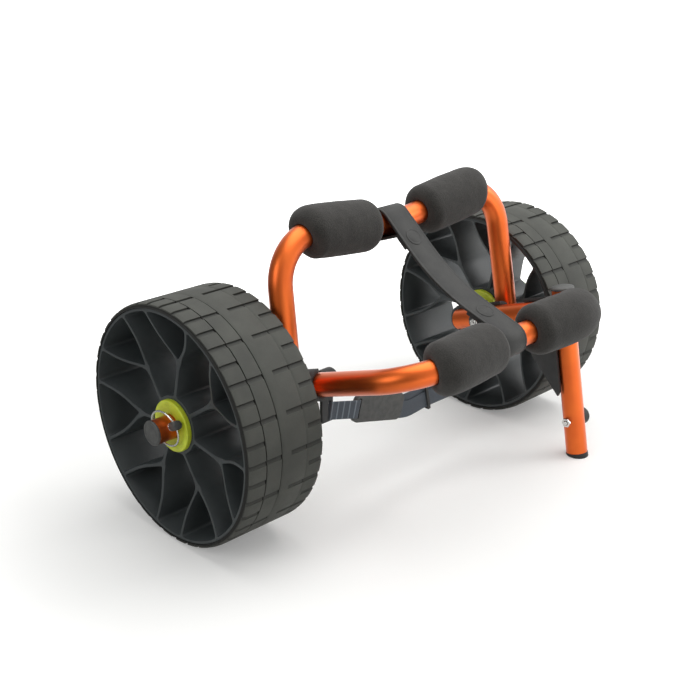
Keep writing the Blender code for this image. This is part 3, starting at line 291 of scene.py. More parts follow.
kept = add_node(sheet, "ShaderNodeMath", {0: 1.0, 1: hidden}, operation="SUBTRACT")
light = add_node(sheet, "ShaderNodeMath", {0: lift.outputs["Value"], 1: kept.outputs["Value"]},
                 operation="MULTIPLY")
sheet.links.new(light.outputs["Value"], paper_shader.inputs["Emission Strength"])
bm = bmesh.new()
bmesh.ops.create_grid(bm, x_segments=1, y_segments=1, size=FLOOR_SIZE / 2,
                      matrix=Matrix.Translation((0, 0, -FLOOR_DROP)))
floor_mesh = bpy.data.meshes.new("floor")
bm.to_mesh(floor_mesh)
bm.free()
floor_mesh.materials.append(paper)
floor = bpy.data.objects.new("floor", floor_mesh)
bpy.context.scene.collection.objects.link(floor)
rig.stage(floor)

# Frame tubes: two U frames of 25 mm aluminium tube, drawn, bent on a mandrel and anodised orange.
# The front one is fixed to the axle brackets and the rear one turns on the pivot bolts.
TUBE_R = 0.0125
TUBE_WALL = 0.0018
ARM_X = 0.1455
ARM_RISE = 18.7
ARM_OFFSET = 0.00265
ARM_START = 0.016
ARM_LENGTH = 0.222
BAR_DIP = 0.018
BEND_R = 0.050
DIP_R = 0.060
PIVOT_T = 0.068
OPEN_ANGLE = 80.5
LEG_LENGTH = 0.159
LEG_TAIL = 0.016
LEG_TOE_IN = 0.007
BEND_STEP = 5.0
stub_low, stub_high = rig.box("axle_stub_right")
axle_place = Matrix.Translation((0, (stub_low.y + stub_high.y) / 2, (stub_low.z + stub_high.z) / 2))
arm_place = axle_place @ Matrix.Rotation(math.radians(-ARM_RISE), 4, "X") @ Matrix.Translation(
    (0, 0, ARM_OFFSET))
rear_place = arm_place @ Matrix.Translation((0, -PIVOT_T, 0)) @ Matrix.Rotation(
    math.radians(-OPEN_ANGLE), 4, "X")
LEG_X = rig.box("rear_frame")[1].x - TUBE_R
LEG_TOP_X = LEG_X - LEG_TOE_IN / LEG_LENGTH * (LEG_LENGTH + LEG_TAIL)
LINE_STEP = 0.012
SHARP_FROM = 35.0
GRAIN_LEVELS = (0.3, 0.7)
UP = Vector((0, 0, 1))


def fillet_line(corners, radii, step=BEND_STEP):
    """The line through flat corners, each turned on its own radius."""
    points = []
    for i, radius in enumerate(radii):
        corner = Vector(corners[i])
        if radius == 0:
            points.append(corner)
            continue
        back = (Vector(corners[i - 1]) - corner).normalized()
        ahead = (Vector(corners[(i + 1) % len(corners)]) - corner).normalized()
        half = back.angle(ahead) / 2
        centre = corner + (back + ahead).normalized() * radius / math.sin(half)
        spoke = corner + back * radius / math.tan(half) - centre
        turn = math.copysign(math.pi - 2 * half, -back.cross(ahead))
        steps = 2 * max(1, math.ceil(abs(math.degrees(turn)) / step / 2))
        points += [centre + Matrix.Rotation(turn * k / steps, 2) @ spoke for k in range(steps + 1)]
    return points


def even_line(points, spacing):
    """The same line with a point at least every so many metres, and its running lengths."""
    line = [points[0]]
    for before, after in zip(points, points[1:]):
        count = max(1, math.ceil((after - before).length / spacing))
        line += [before.lerp(after, k / count) for k in range(1, count + 1)]
    reach = [0.0]
    for before, after in zip(line, line[1:]):
        reach.append(reach[-1] + (after - before).length)
    return line, reach


def u_frame_line(foot_x, top_x, start, length):
    """Centre line of a U frame in its own plane, with reach measured from the middle of its crossbar."""
    corners = [(-foot_x, start), (-top_x, length), (0, length - BAR_DIP), (top_x, length), (foot_x, start)]
    flat = fillet_line(corners, [0, BEND_R, DIP_R, BEND_R, 0])
    line, reach = even_line([Vector((x, -t, 0)) for x, t in flat], LINE_STEP)
    return line, [value - reach[-1] / 2 for value in reach]


def station(line, reach, value):
    """Point and direction of a line at a running length."""
    i = min(max(next((k for k, r in enumerate(reach) if r > value), len(reach) - 1), 1), len(reach) - 1)
    share = (value - reach[i - 1]) / (reach[i] - reach[i - 1])
    before = (line[i] - line[i - 1]).normalized()
    lower = (line[i - 1] - line[max(i - 2, 0)]).normalized() if i > 1 else before
    upper = (line[min(i + 1, len(line) - 1)] - line[i]).normalized() if i + 1 < len(line) else before
    start = (lower + before).normalized()
    end = (before + upper).normalized()
    return line[i - 1].lerp(line[i], share), start.lerp(end, share).normalized()


def sweep(stations, section, normal, caps=True):
    """A skin made by extruding a section along stations of (point, direction, width scale, length run).

    The section lies in (aside, normal) coordinates. Each vertex keeps where it would be on the
    straightened piece in the attribute straight, for patterns that follow the surface.
    """
    bm = bmesh.new()
    straight = bm.verts.layers.float_vector.new("straight")

    def seat(point, along, scale):
        aside = along.cross(normal).normalized()
        lift = aside.cross(along)
        turned = Matrix((aside, lift, along)).transposed().to_4x4()
        return Matrix.Translation(point) @ turned @ Matrix.Diagonal((scale, scale, 1, 1))

    verts = [bm.verts.new((u, v, 0)) for u, v in section]
    edges = [bm.edges.new(pair) for pair in zip(verts, verts[1:] + verts[:1])]
    if caps:
        bm.faces.new(verts)
    point, along, scale, run = stations[0]
    for vert, (u, v) in zip(verts, section):
        vert[straight] = (u * scale, v * scale, run)
    place = seat(point, along, scale)
    bmesh.ops.transform(bm, matrix=place, verts=verts)
    for point, along, scale, run in stations[1:]:
        made = bmesh.ops.extrude_edge_only(bm, edges=edges)["geom"]
        new_verts = {item for item in made if isinstance(item, bmesh.types.BMVert)}
        edges = [item for item in made
                 if isinstance(item, bmesh.types.BMEdge) and set(item.verts) <= new_verts]
        following = seat(point, along, scale)
        bmesh.ops.transform(bm, matrix=following @ place.inverted(), verts=list(new_verts))
        flat = following.inverted()
        for vert in new_verts:
            local = flat @ vert.co
            vert[straight] = (local.x * scale, local.y * scale, run)
        place = following
    if caps:
        bmesh.ops.contextual_create(bm, geom=edges)
    return bm


def ring(radius, sides=48):
    """Points round a circle."""
    return [(radius * math.cos(2 * math.pi * k / sides), radius * math.sin(2 * math.pi * k / sides))
            for k in range(sides)]


def tube(line, reach, outer, inner):
    """A tube with its bore, open at both ends, along a flat line."""
    stations = [(*station(line, reach, value), 1.0, value) for value in reach]
    bm = sweep(stations, ring(outer), UP, caps=False)
    bore = sweep(stations, ring(inner), UP, caps=False)
    mesh = bpy.data.meshes.new("bore")
    bore.to_mesh(mesh)
    bore.free()
    bm.from_mesh(mesh)
    bpy.data.meshes.remove(mesh)
    open_edges = [edge for edge in bm.edges if edge.is_boundary]
    bmesh.ops.bridge_loops(bm, edges=[edge for edge in open_edges if edge.verts[0].co.x < 0])
    bmesh.ops.bridge_loops(bm, edges=[edge for edge in open_edges if edge.verts[0].co.x > 0])
    return bm


def new_finish(name, sockets):
    """A material whose shader has these constant values, and its node tree."""
    made = bpy.data.materials.new(name)
    made.use_nodes = True
    for socket, value in sockets.items():
        made.node_tree.nodes["Principled BSDF"].inputs[socket].default_value = value
    return made, made.node_tree


def pattern(tree, tones, mask, levels, roughness, grain, depth=0.0, height=None):
    """Gives a finish its pattern.

    The colour runs between two tones while the mask is between two levels, the roughness follows the
    grain, and the height, or else the grain, stands out by a depth in metres.
    """
    shader = tree.nodes["Principled BSDF"]
    share = add_node(tree, "ShaderNodeMapRange", {0: mask, 1: levels[0], 2: levels[1]})
    colour = add_node(tree, "ShaderNodeMix", {
        0: share.outputs["Result"], 6: linear(tones[0]), 7: linear(tones[1])}, data_type="RGBA")
    tree.links.new(colour.outputs[2], shader.inputs["Base Color"])
    rough = add_node(tree, "ShaderNodeMapRange", {
        0: grain, 1: GRAIN_LEVELS[0], 2: GRAIN_LEVELS[1], 3: roughness[0], 4: roughness[1]})
    tree.links.new(rough.outputs["Result"], shader.inputs["Roughness"])
    if depth:
        bump = add_node(tree, "ShaderNodeBump", {
            "Height": height or grain, "Distance": depth, "Strength": 1.0})
        tree.links.new(bump.outputs["Normal"], shader.inputs["Normal"])


def piece(name, bm, finish, body, slot, *nodes, place=None):
    """The mesh at its place, as a piece that rides on a body, or is blended later, for its CAD nodes."""
    if place is not None:
        bmesh.ops.transform(bm, matrix=place, verts=bm.verts)
    bmesh.ops.recalc_face_normals(bm, faces=bm.faces)
    mesh = bpy.data.meshes.new(name)
    bm.to_mesh(mesh)
    bm.free()
    mesh.materials.append(finish)
    mesh.shade_smooth()
    mesh.set_sharp_from_angle(angle=math.radians(SHARP_FROM))
    made = bpy.data.objects.new(name, mesh)
    bpy.context.scene.collection.objects.link(made)
    if body:
        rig.ride(made, body)
    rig.slot(made, slot)
    if nodes:
        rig.replaces(made, *nodes)
    return made


# Anodised drawn tube: a dyed oxide skin over satin metal, a deep orange that whitens at a glance.
# Straight draw lines run along it about a millimetre apart, wider than real ones so that they show.
DRAW_LINE = 0.0009
DRAW_DEPTH = 0.00002
DRAW_STRETCH = 0.012
DYE_CLOUD = 0.030
anodised, tree = new_finish("orange_anodised_drawn_aluminium", {
    "Metallic": 1.0, "Coat Weight": 0.85, "Coat Roughness": 0.34, "Coat IOR": 1.3})
along = add_node(tree, "ShaderNodeAttribute", attribute_name="straight").outputs["Vector"]
drawn = add_node(tree, "ShaderNodeMapping", {
    "Vector": along, "Scale": (1 / DRAW_LINE, 1 / DRAW_LINE, DRAW_STRETCH / DRAW_LINE)})
lines = add_node(tree, "ShaderNodeTexNoise", {"Vector": drawn.outputs["Vector"], "Scale": 1.0, "Detail": 2.0})
clouds = add_node(tree, "ShaderNodeTexNoise", {"Vector": along, "Scale": 1 / DYE_CLOUD, "Detail": 2.0})
pattern(tree, ("#d85f20", "#e26a25"), clouds.outputs["Fac"], (0.3, 0.7), (0.34, 0.44), lines.outputs["Fac"],
        DRAW_DEPTH)

front_line, front_reach = u_frame_line(ARM_X, ARM_X, ARM_START, ARM_LENGTH)
rear_line, rear_reach = u_frame_line(LEG_X, LEG_TOP_X, -LEG_TAIL, LEG_LENGTH)
FRAMES = (("front", front_line, front_reach, arm_place, "chassis"),
          ("rear", rear_line, rear_reach, rear_place, "rear"))
for name, line, reach, place, body in FRAMES:
    bm = tube(line, reach, TUBE_R, TUBE_R - TUBE_WALL)
    piece(f"{name}_frame_tube", bm, anodised, body, "anodised", f"{name}_frame", place=place)

# Foam pads: four sleeves of charcoal closed-cell foam, 55 mm across, pushed over the crossbars.
# Their cut ends are ground round, and the front left one has slid up against the strap. TOUCH is
# the gap left between the skins of any two pieces.
PAD_R = 0.0275
PAD_START = 0.038
PAD_LENGTH = 0.095
PAD_END_DEPTH = 0.0130
PAD_LIP_R = 0.0152
PAD_SWELL = 0.0005
PAD_DENTS = 0.00035
PAD_DENT_SCALE = 55
PAD_SIDES = 56
BORE_INSET = 0.0050
STRAP_WIDTH = 0.034
TOUCH = 0.0003

# Closed-cell foam: matt charcoal with a faint bloom at its edges. Its cells are drawn 1.3 mm wide,
# about twice the real size, so that the skin looks grainy from where the camera stands.
CELL = 0.0013
FOAM_GRAIN = 0.0007
FOAM_SOFT = 0.012
FOAM_CELL_DEPTH = 0.00022
FOAM_SOFT_DEPTH = 0.0006
foam, tree = new_finish("charcoal_closed_cell_foam", {
    "Specular IOR Level": 0.25, "Sheen Weight": 0.12, "Sheen Roughness": 0.6})
place = add_node(tree, "ShaderNodeTexCoord").outputs["Object"]
cells = add_node(tree, "ShaderNodeTexVoronoi", {"Vector": place, "Scale": 1 / CELL, "Randomness": 1.0})
fine = add_node(tree, "ShaderNodeTexNoise", {"Vector": place, "Scale": 1 / FOAM_GRAIN, "Detail": 3.0})
soft = add_node(tree, "ShaderNodeTexNoise", {"Vector": place, "Scale": 1 / FOAM_SOFT, "Detail": 3.0})
speck = add_node(tree, "ShaderNodeMix", {0: 0.20, 2: fine.outputs["Fac"], 3: soft.outputs["Fac"]})
pattern(tree, ("#242321", "#3b3936"), speck.outputs[0], (0.40, 0.60), (0.85, 1.0), fine.outputs["Fac"])
pits = add_node(tree, "ShaderNodeBump", {
    "Height": cells.outputs["Distance"], "Distance": FOAM_CELL_DEPTH, "Strength": 1.0})
waves = add_node(tree, "ShaderNodeBump", {
    "Height": soft.outputs["Fac"], "Distance": FOAM_SOFT_DEPTH, "Strength": 1.0,
    "Normal": pits.outputs["Normal"]})
tree.links.new(waves.outputs["Normal"], tree.nodes["Principled BSDF"].inputs["Normal"])


def foam_sleeve(line, reach, side, start):
    """A closed sleeve round the tube from start to start plus its length, with soft ends and a bore."""
    bore = TUBE_R + TOUCH
    # Depth under the cut end and radius, from inside the bore out to its flared edge.
    mouth = [(BORE_INSET, bore), (0.0014, bore), (0.0004, TUBE_R + 0.0006), (0.0, TUBE_R + 0.0013)]
    curve = [math.radians(90 * k / 9) for k in range(1, 10)]
    mouth += [(PAD_END_DEPTH * (1 - math.cos(a)), PAD_LIP_R + (PAD_R - PAD_LIP_R) * math.sin(a))
              for a in curve]
    straight_run = PAD_LENGTH - 2 * PAD_END_DEPTH
    middle = [(PAD_END_DEPTH + straight_run * k / 12, PAD_R + PAD_SWELL * math.sin(math.pi * k / 12))
              for k in range(1, 12)]
    far = [(PAD_LENGTH - depth, radius) for depth, radius in reversed(mouth)]
    inside = [(BORE_INSET + (PAD_LENGTH - 2 * BORE_INSET) * k / 16, bore) for k in range(15, -1, -1)]
    stations = []
    for depth, radius in mouth + middle + far + inside:
        value = side * (start + depth)
        stations.append((*station(line, reach, value), radius / PAD_R, value))
    bm = sweep(stations, ring(PAD_R, PAD_SIDES), UP, caps=False)
    bmesh.ops.remove_doubles(bm, verts=bm.verts, dist=1e-6)
    return bm


for name, line, reach, place, body in FRAMES:
    for side_name, side in (("left", -1), ("right", 1)):
        slid = name == "front" and side < 0
        start = STRAP_WIDTH / 2 + PAD_R * BAR_DIP / ARM_X + TOUCH if slid else PAD_START
        bm = foam_sleeve(line, reach, side, start)
        bmesh.ops.transform(bm, matrix=place, verts=bm.verts)
        bm.normal_update()
        for vert in bm.verts:
            vert.co += vert.normal * PAD_DENTS * noise.noise(vert.co * PAD_DENT_SCALE)
        pad = piece(f"{name}_foam_{side_name}", bm, foam, body, "foam", f"{name}_pad_{side_name}")
        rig.padded(pad, fill=1.0)

# Tyres: wide puncture-free tyres of grey rubber, 254 mm across, each on a one-piece nylon rim.
# The tread is moulded in three bands: lugs, bricks set half a lug on, and a wide band with slots.
WHEEL_R = 0.127
RIM_R = 0.1218
SHOULDER = 0.007
SHOULDER_DROP = 0.0018
TREAD_PITCHES = 20
TREAD_STEPS = 320
GROOVE_STEPS = 2
CROSS_DEPTH = 0.0018
LINE_DEPTH = 0.0011
RAMP_SHARE = 0.62
RAMP_REACH = 0.0002
BEAD_DROP = 0.0007
BEAD_STEP = 0.0011
STEP_LINE = 0.0730
STEP_HALF = 0.0005
STEP_DROP = 0.0003
SHOULDER_RINGS = (0.002, 0.0045)
TREAD_EDGE = 0.00025
LUG_END = 0.0218
BRICK_START = 0.0229
BRICK_END = 0.0408
BAND_START = 0.0421
BEAD_END = 0.0465
LONG_SLOT = 0.0530
SHORT_SLOT = 0.0760
SIDE_FACE = 0.9
SEAT_DEPTH = 0.001
tyre_low, tyre_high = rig.box("tyre_right")
WHEEL_MID = (tyre_low.x + tyre_high.x) / 2
WHEEL_WIDTH = tyre_high.x - tyre_low.x
TREAD_BOTTOM = -90 - GROOVE_STEPS * 180 / TREAD_STEPS
TREAD_PITCH = TREAD_STEPS // TREAD_PITCHES
SIDES = (("left", -1), ("right", 1))


def facing(side):
    """The turn that points a piece built for the right side to this side."""
    return Matrix.Rotation(0 if side > 0 else math.pi, 4, "Z")


def hub_place(side):
    """Where a wheel's middle stands on the axle, turned so that its outer face looks away."""
    return axle_place @ Matrix.Translation((side * WHEEL_MID, 0, 0)) @ facing(side)


def lathe(profile, sides=72):
    """A body turned round X from (x, radius) points, closed on the axis or back to its first point."""
    bm = bmesh.new()
    straight = bm.verts.layers.float_vector.new("straight")
    verts = [bm.verts.new((x, 0, radius)) for x, radius in profile]
    edges = [bm.edges.new(pair) for pair in zip(verts, verts[1:])]
    if profile[0][1] > 0:
        edges.append(bm.edges.new((verts[-1], verts[0])))
    bmesh.ops.spin(bm, geom=verts + edges, axis=(1, 0, 0), cent=(0, 0, 0), angle=2 * math.pi,
                   steps=sides, use_merge=True)
    bmesh.ops.remove_doubles(bm, verts=bm.verts, dist=1e-7)
    bmesh.ops.recalc_face_normals(bm, faces=bm.faces)
    for vert in bm.verts:
        vert[straight] = (vert.co.y, vert.co.z, vert.co.x)
    return bm


def rounded_edges(bm, width, segments=2, sharper_than=30.0):
    """Bevels every edge that turns by more than this angle."""
    turned = [edge for edge in bm.edges
              if edge.is_manifold and edge.calc_face_angle(0.0) > math.radians(sharper_than)]
    bmesh.ops.bevel(bm, geom=turned, offset=width, segments=segments, profile=0.5, affect="EDGES",
                    material=-1, clamp_overlap=True)


def crown(depth):
    """Radius of the tread at a distance from the wheel's outer face."""
    edge = min(depth, WHEEL_WIDTH - depth)
    bead = max(0.0, 1 - (depth - BAND_START) / (BEAD_END - BAND_START)) if depth >= BAND_START else 0.0
    step = STEP_DROP if depth == STEP_LINE else 0.0
    return WHEEL_R - SHOULDER_DROP * max(0.0, 1 - edge / SHOULDER) ** 2 - BEAD_DROP * bead ** 2 - step


def tread_lift(depth, step):
    """How many of the two moulding steps stand here: 0 in a line, 1 in a cross groove, 2 on a block."""
    if LUG_END < depth < BRICK_START or BRICK_END < depth < BAND_START:
        return 0
    whole = step % TREAD_PITCH < GROOVE_STEPS
    half = (step - TREAD_PITCH // 2) % TREAD_PITCH < GROOVE_STEPS
    if depth < LUG_END:
        return 1 if whole or half else 2
    if depth < BRICK_END:
        return 1 if whole else 2
    if whole and depth > LONG_SLOT or half and depth > SHORT_SLOT:
        return 1
    return 2


def turned_steps(spot):
    """How many of the tread's steps a spot lies round from the groove at the bottom of the wheel."""
    return (math.degrees(math.atan2(spot.z, spot.y)) - TREAD_BOTTOM) * TREAD_STEPS / 360


def lift_at(face):
    """How many moulding steps stand on a face of the tread."""
    centre = face.calc_center_median()
    return tread_lift(WHEEL_WIDTH / 2 - centre.x, int(turned_steps(centre)) % TREAD_STEPS)


def push_out(vert, height):
    """Moves a vertex away from the axle."""
    factor = 1 + height / math.hypot(vert.co.y, vert.co.z)
    vert.co.y *= factor
    vert.co.z *= factor


def raise_faces(bm, faces, height):
    """Extrudes a region of the tread outwards."""
    made = bmesh.ops.extrude_face_region(bm, geom=faces)
    for item in made["geom"]:
        if isinstance(item, bmesh.types.BMVert):
            push_out(item, height)
    bmesh.ops.delete(bm, geom=faces, context="FACES")
    return [item for item in made["geom"] if isinstance(item, bmesh.types.BMFace)]


def tyre_mesh():
    """A lathed ring whose tread is raised twice, with ramps beside the cross grooves."""
    low = CROSS_DEPTH + LINE_DEPTH
    columns = [0, *SHOULDER_RINGS, SHOULDER, LUG_END, BRICK_START, BRICK_END,
               BAND_START, BAND_START + BEAD_STEP, BAND_START + 2 * BEAD_STEP, BEAD_END, LONG_SLOT,
               STEP_LINE - STEP_HALF, STEP_LINE, STEP_LINE + STEP_HALF, SHORT_SLOT, WHEEL_WIDTH - SHOULDER,
               *[WHEEL_WIDTH - depth for depth in reversed(SHOULDER_RINGS)], WHEEL_WIDTH]
    section = [(WHEEL_WIDTH / 2 - depth, crown(depth) - low) for depth in columns]
    section += [(-WHEEL_WIDTH / 2, RIM_R + TOUCH), (WHEEL_WIDTH / 2, RIM_R + TOUCH)]
    bm = lathe(section, TREAD_STEPS)
    raised = {0: [], 1: [], 2: []}
    for face in bm.faces:
        centre = face.calc_center_median()
        if math.hypot(centre.y, centre.z) > RIM_R + SEAT_DEPTH and abs(face.normal.x) < SIDE_FACE:
            raised[lift_at(face)].append(face)
    lifted = raise_faces(bm, raised[1] + raised[2], LINE_DEPTH)
    raise_faces(bm, [face for face in lifted if lift_at(face) == 2], CROSS_DEPTH)
    for vert in bm.verts:
        radius = math.hypot(vert.co.y, vert.co.z)
        if abs(crown(WHEEL_WIDTH / 2 - vert.co.x) - CROSS_DEPTH - radius) > RAMP_REACH:
            continue
        into = round(turned_steps(vert.co)) % (TREAD_PITCH // 2)
        if into < GROOVE_STEPS:
            push_out(vert, RAMP_SHARE * CROSS_DEPTH * (1 - into / GROOVE_STEPS))
    bmesh.ops.recalc_face_normals(bm, faces=bm.faces)
    rounded_edges(bm, TREAD_EDGE, 1, 50)
    # Each point notes how deep it sinks below the crown, as a share of the full depth, for the painted groove shade.
    below = bm.verts.layers.float.new("below")
    for vert in bm.verts:
        sunk = crown(WHEEL_WIDTH / 2 - vert.co.x) - math.hypot(vert.co.y, vert.co.z)
        vert[below] = min(1.0, max(0.0, sunk / low))
    return bm


def cloudy_finish(name, sockets, tones, levels, cloud, grain, roughness, depth=0.0):
    """A finish whose colour drifts in clouds and whose fine grain roughens and dents it.

    The cloud and the grain are each a size in metres and a detail.
    """
    made, tree = new_finish(name, sockets)
    place = add_node(tree, "ShaderNodeTexCoord").outputs["Object"]
    clouds, fine = [
        add_node(tree, "ShaderNodeTexNoise", {
            "Vector": place, "Scale": 1 / size, "Detail": detail}).outputs["Fac"]
        for size, detail in (cloud, grain)]
    pattern(tree, tones, clouds, levels, roughness, fine, depth)
    return made


# Moulded tyre rubber: an even, dusty mid grey that hardly shines, with fine pores. Its groove floors
# get painted shade, darkened towards near black the deeper they sink, as little light gets down between the blocks.
GROOVE_FROM = 0.10
GROOVE_BY = 0.70
GROOVE_SHADE_SHARE = 0.85
tyre = cloudy_finish("grey_moulded_tyre_rubber", {"Specular IOR Level": 0.35}, ("#444541", "#4e4f4a"),
                     (0.35, 0.65), cloud=(0.035, 4.0), grain=(0.0008, 3.0), roughness=(0.70, 0.85),
                     depth=0.00006)
tree = tyre.node_tree
colour_input = tree.nodes["Principled BSDF"].inputs["Base Color"]
face_colour = colour_input.links[0].from_socket
# Painted shade: the deeper a point lies below the crown, the nearer its colour goes to near black.
below = add_node(tree, "ShaderNodeAttribute", attribute_name="below").outputs["Fac"]
sunk = add_node(tree, "ShaderNodeMapRange", {
    0: below, 1: GROOVE_FROM, 2: GROOVE_BY, 3: 0.0, 4: GROOVE_SHADE_SHARE})
groove = add_node(tree, "ShaderNodeMix", {0: sunk.outputs["Result"], 6: face_colour, 7: linear("#131312")},
                  data_type="RGBA")
tree.links.new(groove.outputs[2], colour_input)
for side_name, side in SIDES:
    lugs_left = Matrix.Rotation(math.pi if side > 0 else 0, 4, "Z")
    piece(f"moulded_tyre_{side_name}", tyre_mesh(), tyre, f"wheel_{side_name}", "tyre", f"tyre_{side_name}",
          place=hub_place(side) @ lugs_left)

# Rims: glass-filled nylon moulded in one shot, with seven forked spokes whose blades are as deep as
# the wheel is wide. The open faces are dished towards the hub, and every blade has a soft front edge.
RIM_WALL = 0.003
RIM_SIDES = 180
HUB_R = 0.0305
HUB_BORE = 0.0153
BORE_SIDES = 48
FORK_R = 0.0679
SPOKES = 7
SPOKE_START = {"left": 34.6, "right": 0.0}
BRANCH_SPREAD = 15.7
BRANCH_OUT = 43.0
BRANCH_IN = 24.0
STEM_HALF = 0.0020
BRANCH_HALF = 0.0016
FORK_BEND = 0.034
BRANCH_BEND = 0.090
CORNER_BEND = 0.006
CORNER_SHORT = CORNER_BEND / 2
SPOKE_EDGE = 0.0005
RIM_RECESS = 0.001
HUB_LENGTH = 0.0624
FLANGE_T = 0.0055
bush_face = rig.box("outer_bush_right")[1].x
HUB_RECESS = tyre_high.x - (bush_face - FLANGE_T)
FORK_RECESS_OUT = 0.0166
FORK_RECESS_IN = 0.022


def polar(radius, angle):
    """A point in a plane at a distance and an angle in degrees."""
    return Vector((radius * math.cos(math.radians(angle)), radius * math.sin(math.radians(angle))))


def crossing(point_a, direction_a, point_b, direction_b):
    """Where two lines in a plane cross."""
    share = (point_b - point_a).cross(direction_b) / direction_a.cross(direction_b)
    return point_a + direction_a * share


def to_circle(point, direction, radius):
    """Where a line that starts inside a circle about the axle leaves it."""
    along = point.dot(direction)
    return point + direction * (math.sqrt(along ** 2 + radius ** 2 - point.length_squared) - along)


def wheel_windows(first_spoke):
    """Openings of the rim: one inside each forked spoke and one between each two."""
    lip = RIM_R - RIM_WALL
    pitch = 360 / SPOKES
    fork = Vector((FORK_R, 0))
    end = polar(lip, BRANCH_SPREAD)
    outward = polar(1, BRANCH_OUT)
    inward = polar(1, BRANCH_IN)
    sides = []
    for sign in (-1, 1):
        first = fork + Vector((-outward.y, outward.x)) * BRANCH_HALF * sign
        second = end + Vector((-inward.y, inward.x)) * BRANCH_HALF * sign
        start = crossing(first, outward, Vector((0, 0 if sign < 0 else STEM_HALF)), Vector((1, 0)))
        bend = crossing(first, outward, second, inward)
        sides.append([start, bend, to_circle(bend, inward, lip)])
    inner, outer = sides

    def flipped(point):
        return Vector((point.x, -point.y))

    def lip_arc(start, finish):
        count = 10
        return [polar(lip, start + (finish - start) * k / count) for k in range(1, count)]

    inner_angle = math.degrees(math.atan2(inner[2].y, inner[2].x))
    outer_angle = math.degrees(math.atan2(outer[2].y, outer[2].x))
    small_arc = lip_arc(inner_angle, -inner_angle)
    small = [*inner, *small_arc, flipped(inner[2]), flipped(inner[1])]
    small_radii = [CORNER_BEND / 3, BRANCH_BEND, CORNER_SHORT, *[0] * len(small_arc), CORNER_SHORT,
                   BRANCH_BEND]
    swing = Matrix.Rotation(math.radians(pitch), 2)
    root = Vector((math.sqrt(HUB_R ** 2 - STEM_HALF ** 2), STEM_HALF))
    root_angle = math.degrees(math.atan2(root.y, root.x))
    large_arc = lip_arc(outer_angle, pitch - outer_angle)
    count = 8
    hub_arc = [polar(HUB_R, pitch - root_angle + (2 * root_angle - pitch) * k / count)
               for k in range(1, count)]
    large = [root, *outer, *large_arc, *[swing @ flipped(p) for p in (outer[2], outer[1], outer[0], root)],
             *hub_arc]
    side_radii = [CORNER_SHORT, FORK_BEND, BRANCH_BEND, CORNER_SHORT]
    large_radii = [*side_radii, *[0] * len(large_arc), *reversed(side_radii), *[0] * len(hub_arc)]
    shapes = [fillet_line(small, small_radii, 8), fillet_line(large, large_radii, 8)]
    turns = [Matrix.Rotation(math.radians(first_spoke + pitch * k), 2) for k in range(SPOKES)]
    return [[turn @ point for point in shape] for turn in turns for shape in shapes]


def dished(radius, hub_depth, fork_depth):
    """How far a face of the rim lies below the wheel's face at a radius."""
    if radius < FORK_R:
        share = max(0.0, (radius - HUB_R) / (FORK_R - HUB_R))
        return hub_depth + (fork_depth - hub_depth) * share
    share = min(1.0, (radius - FORK_R) / (RIM_R - RIM_WALL - FORK_R))
    return fork_depth + (RIM_RECESS - fork_depth) * share


def rim_mesh(first_spoke):
    """The rim's filled outline with its windows, pulled through the wheel's width and dished."""
    half = WHEEL_WIDTH / 2
    bm = bmesh.new()
    round_loops = [[polar(RIM_R, 360 * k / RIM_SIDES) for k in range(RIM_SIDES)],
                   [polar(HUB_BORE, 360 * k / BORE_SIDES) for k in range(BORE_SIDES)]]
    edges = []
    for loop in round_loops + wheel_windows(first_spoke):
        verts = [bm.verts.new((half, y, z)) for y, z in loop]
        edges += [bm.edges.new((verts[k - 1], verts[k])) for k in range(len(verts))]
    bmesh.ops.triangle_fill(bm, edges=edges, use_beauty=True, use_dissolve=False)
    outer_faces = bm.faces[:]
    lifted = bmesh.ops.extrude_face_region(bm, geom=outer_faces, use_keep_orig=True)
    inner = [item for item in lifted["geom"] if isinstance(item, bmesh.types.BMVert)]
    bmesh.ops.translate(bm, verts=inner, vec=(-WHEEL_WIDTH, 0, 0))
    for vert in bm.verts:
        radius = math.hypot(vert.co.y, vert.co.z)
        if vert.co.x > 0:
            vert.co.x -= dished(radius, HUB_RECESS, FORK_RECESS_OUT)
        else:
            vert.co.x += dished(radius, WHEEL_WIDTH - HUB_LENGTH - HUB_RECESS, FORK_RECESS_IN)
    bmesh.ops.recalc_face_normals(bm, faces=bm.faces)
    rounded_edges(bm, SPOKE_EDGE, 2, 50)
    return bm


# Moulded nylon: cool charcoal with a low satin shine, so the deep blades catch soft light along
# their length. The spark-eroded mould leaves a grain of about half a millimetre.
nylon = cloudy_finish("charcoal_moulded_nylon", {"Specular IOR Level": 0.5}, ("#313637", "#3c4142"),
                      (0.3, 0.7), cloud=(0.040, 3.0), grain=(0.0006, 2.0), roughness=(0.42, 0.52),
                      depth=0.00004)
for side_name, side in SIDES:
    piece(f"spoked_rim_{side_name}", rim_mesh(SPOKE_START[side_name]), nylon, f"wheel_{side_name}", "rim",
          f"rim_{side_name}", place=hub_place(side))

# Wheel bushes: lime acetal, turned-looking flange with fine moulded rings, pressed into both ends of
# the hub so that the wheel runs on plastic.
FLANGE_R = 0.0272
FLANGE_ROUND = 0.0014
FLANGE_BACK = 0.0006
RING_STEP = 0.0016
RING_RISE = 0.00022
BUSH_BORE = 0.0127
BORE_ROUND = 0.0008
SLEEVE_R = 0.0150
SLEEVE_LENGTH = 0.017

# Moulded acetal: a bright waxy lime that lets a little light in under its skin.
lime = cloudy_finish("lime_moulded_acetal", {
    "Specular IOR Level": 0.5, "Subsurface Weight": 0.08, "Subsurface Scale": 0.002}, ("#b4c02a", "#c8d434"),
    (0.3, 0.7), cloud=(0.010, 3.0), grain=(0.0006, 3.0), roughness=(0.34, 0.46))


